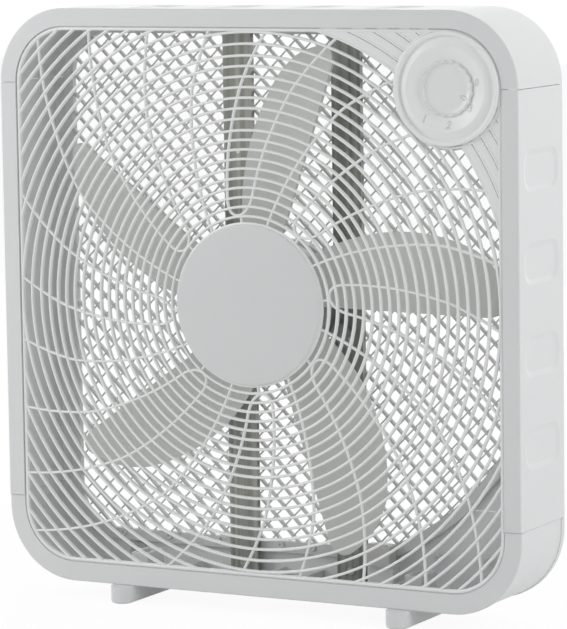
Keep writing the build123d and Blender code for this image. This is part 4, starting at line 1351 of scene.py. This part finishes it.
@dataclass
class Studio:
    """The floor, the soft light and the camera."""

    eye: Triple = (1.5634, -2.8917, 0.6584)
    yaw: float = 28.309
    pitch: float = 6.772
    roll: float = -0.836
    lens: float = 209.02
    sensor: float = 36.0
    clip: Pair = (0.05, 60.0)
    ambient: float = 0.42
    aim: Triple = (0.0, 0.0, 0.28)
    lamps: tuple[tuple[str, Triple, float, float], ...] = (
        ("key", (2.8, -0.3, 1.2), 26.0, 1.8), ("fill", (-1.5, -1.3, 1.0), 13.5, 1.2),
        ("back", (-0.2, 2.3, 0.9), 36.0, 3.0))
    inner_place: Triple = (0.0, -0.0365, AXIS_HEIGHT)
    inner_power: float = 0.10
    inner_size: float = 0.46
    floor_size: float = 9.0
    floor_grey: float = 0.86
    floor_glow: float = 1.03
    floor_share: float = 0.90

    def place_camera(self) -> None:
        """Places the camera where the photograph was taken from."""
        yaw, pitch, roll = (math.radians(value) for value in (self.yaw, self.pitch, self.roll))
        ahead = Vector((-math.sin(yaw) * math.cos(pitch), math.cos(yaw) * math.cos(pitch), -math.sin(pitch)))
        right = Vector((math.cos(yaw), math.sin(yaw), 0.0))
        up = right.cross(ahead)
        level = right * math.cos(roll) + up * math.sin(roll)
        upright = up * math.cos(roll) - right * math.sin(roll)
        turn = Matrix((level, upright, -ahead)).transposed().to_4x4()
        lens = bpy.data.cameras.new("camera")
        lens.lens, lens.sensor_width = self.lens, self.sensor
        lens.clip_start, lens.clip_end = self.clip
        camera = bpy.data.objects.new("camera", lens)
        camera.matrix_world = Matrix.Translation(self.eye) @ turn
        bpy.context.scene.collection.objects.link(camera)
        bpy.context.scene.camera = camera

    def light(self, name: str, place: Triple, power: float, size: float) -> bpy.types.Object:
        """Hangs a square lamp of a power and size that looks at the fan.

        Args:
            name: the lamp's name.
            place: where it hangs, in metres.
            power: its power in watts.
            size: the length of its sides.

        Returns:
            The lamp's object.
        """
        lamp = bpy.data.lights.new(name, "AREA")
        lamp.energy, lamp.size = power, size
        carrier = bpy.data.objects.new(name, lamp)
        carrier.location = place
        carrier.rotation_euler = (Vector(self.aim) - Vector(place)).to_track_quat("-Z", "Y").to_euler()
        bpy.context.scene.collection.objects.link(carrier)
        return carrier

    @staticmethod
    def seen_white(tree: Tree, share: float, lit: Socket, seen: Socket) -> Socket:
        """Mixes two shaders: one that lights the fan, and one on rays that show the background.

        Args:
            tree: the tree that it goes in.
            share: how much of the second shader those rays show.
            lit: the first shader.
            seen: the second shader.

        Returns:
            The mixed shader.
        """
        rays = tree.nodes.new("ShaderNodeLightPath").outputs
        either = Palette.math(tree, "MAXIMUM", rays["Is Camera Ray"], rays["Is Glossy Ray"])
        shown = Palette.math(tree, "MAXIMUM", either, rays["Is Transmission Ray"])
        choice = tree.nodes.new("ShaderNodeMixShader")
        tree.links.new(Palette.math(tree, "MULTIPLY", shown, share), choice.inputs[0])
        tree.links.new(lit, choice.inputs[1])
        tree.links.new(seen, choice.inputs[2])
        return choice.outputs[0]

    def build_world(self) -> None:
        """Makes a white surround that lights the fan evenly."""
        world = bpy.data.worlds.new("surround")
        world.use_nodes = True
        tree = world.node_tree
        glow, white = tree.nodes["Background"], tree.nodes.new("ShaderNodeBackground")
        for node, strength in ((glow, self.ambient), (white, 1.0)):
            node.inputs["Color"].default_value = (1.0, 1.0, 1.0, 1.0)
            node.inputs["Strength"].default_value = strength
        mixed = self.seen_white(tree, 1.0, glow.outputs[0], white.outputs[0])
        tree.links.new(mixed, tree.nodes["World Output"].inputs["Surface"])
        bpy.context.scene.world = world

    def build_floor(self) -> None:
        """Lays a pale floor that keeps a faint shadow."""
        mesh = bmesh.new()
        bmesh.ops.create_grid(mesh, x_segments=4, y_segments=4, size=self.floor_size)
        data = bpy.data.meshes.new("floor")
        mesh.to_mesh(data)
        mesh.free()
        floor = bpy.data.objects.new("floor", data)
        bpy.context.scene.collection.objects.link(floor)
        material = bpy.data.materials.new("pale_floor")
        material.use_nodes = True
        tree = material.node_tree
        tree.nodes.remove(tree.nodes["Principled BSDF"])
        matt, white = tree.nodes.new("ShaderNodeBsdfDiffuse"), tree.nodes.new("ShaderNodeEmission")
        grey = self.floor_grey
        matt.inputs["Color"].default_value = (grey, grey, grey, 1.0)
        white.inputs["Strength"].default_value = self.floor_glow
        mixed = self.seen_white(tree, self.floor_share, matt.outputs[0], white.outputs[0])
        tree.links.new(mixed, tree.nodes["Material Output"].inputs["Surface"])
        data.materials.append(material)

    def build(self) -> None:
        """Sets the whole studio up."""
        bpy.context.scene.view_settings.view_transform = "Standard"
        self.build_world()
        self.build_floor()
        for lamp in self.lamps:
            self.light(*lamp)
        inner = self.light("inner", self.inner_place, self.inner_power, self.inner_size)
        inner.rotation_euler = (math.radians(90.0), 0.0, 0.0)
        inner.visible_camera = inner.visible_glossy = False
        self.place_camera()


def main() -> None:
    """Builds the fan's classes in order."""
    logging.basicConfig(level=logging.INFO, format="%(name)s %(message)s")
    shop = Workshop(Palette())
    shop.dress(Palette.CASE, "top_cover", "bottom_base", "left_side_panel", "right_side_panel", "left_foot",
               "right_foot")
    shop.dress(Palette.STRUT, "left_strut", "right_strut")
    shop.dress(Palette.SCREW, "rear_grille_screws", "motor_screws", "switch_nut", "impeller_nut")
    shop.dress(Palette.SHAFT, "motor_shaft", "switch_shaft")
    shop.dress(Palette.MOTOR, "motor_front_bell", "motor_rear_bell")
    shop.dress(Palette.CORE, "stator_core", "rotor_core")
    shop.dress(Palette.WINDING, "stator_winding")
    shop.dress(Palette.BRONZE, "front_bearing", "rear_bearing")
    shop.dress(Palette.SWITCH, "rotary_switch")
    shop.dress(Palette.CAPACITOR, "run_capacitor")
    shop.dress(Palette.RUBBER, "cord_gland")
    FrontGrille().build(shop)
    RearGrille().build(shop)
    StrutScrews().build(shop)
    Impeller().build(shop)
    Studio().build()
    LOG.info("%d pieces made", shop.made)


if __name__ == "__main__":
    main()
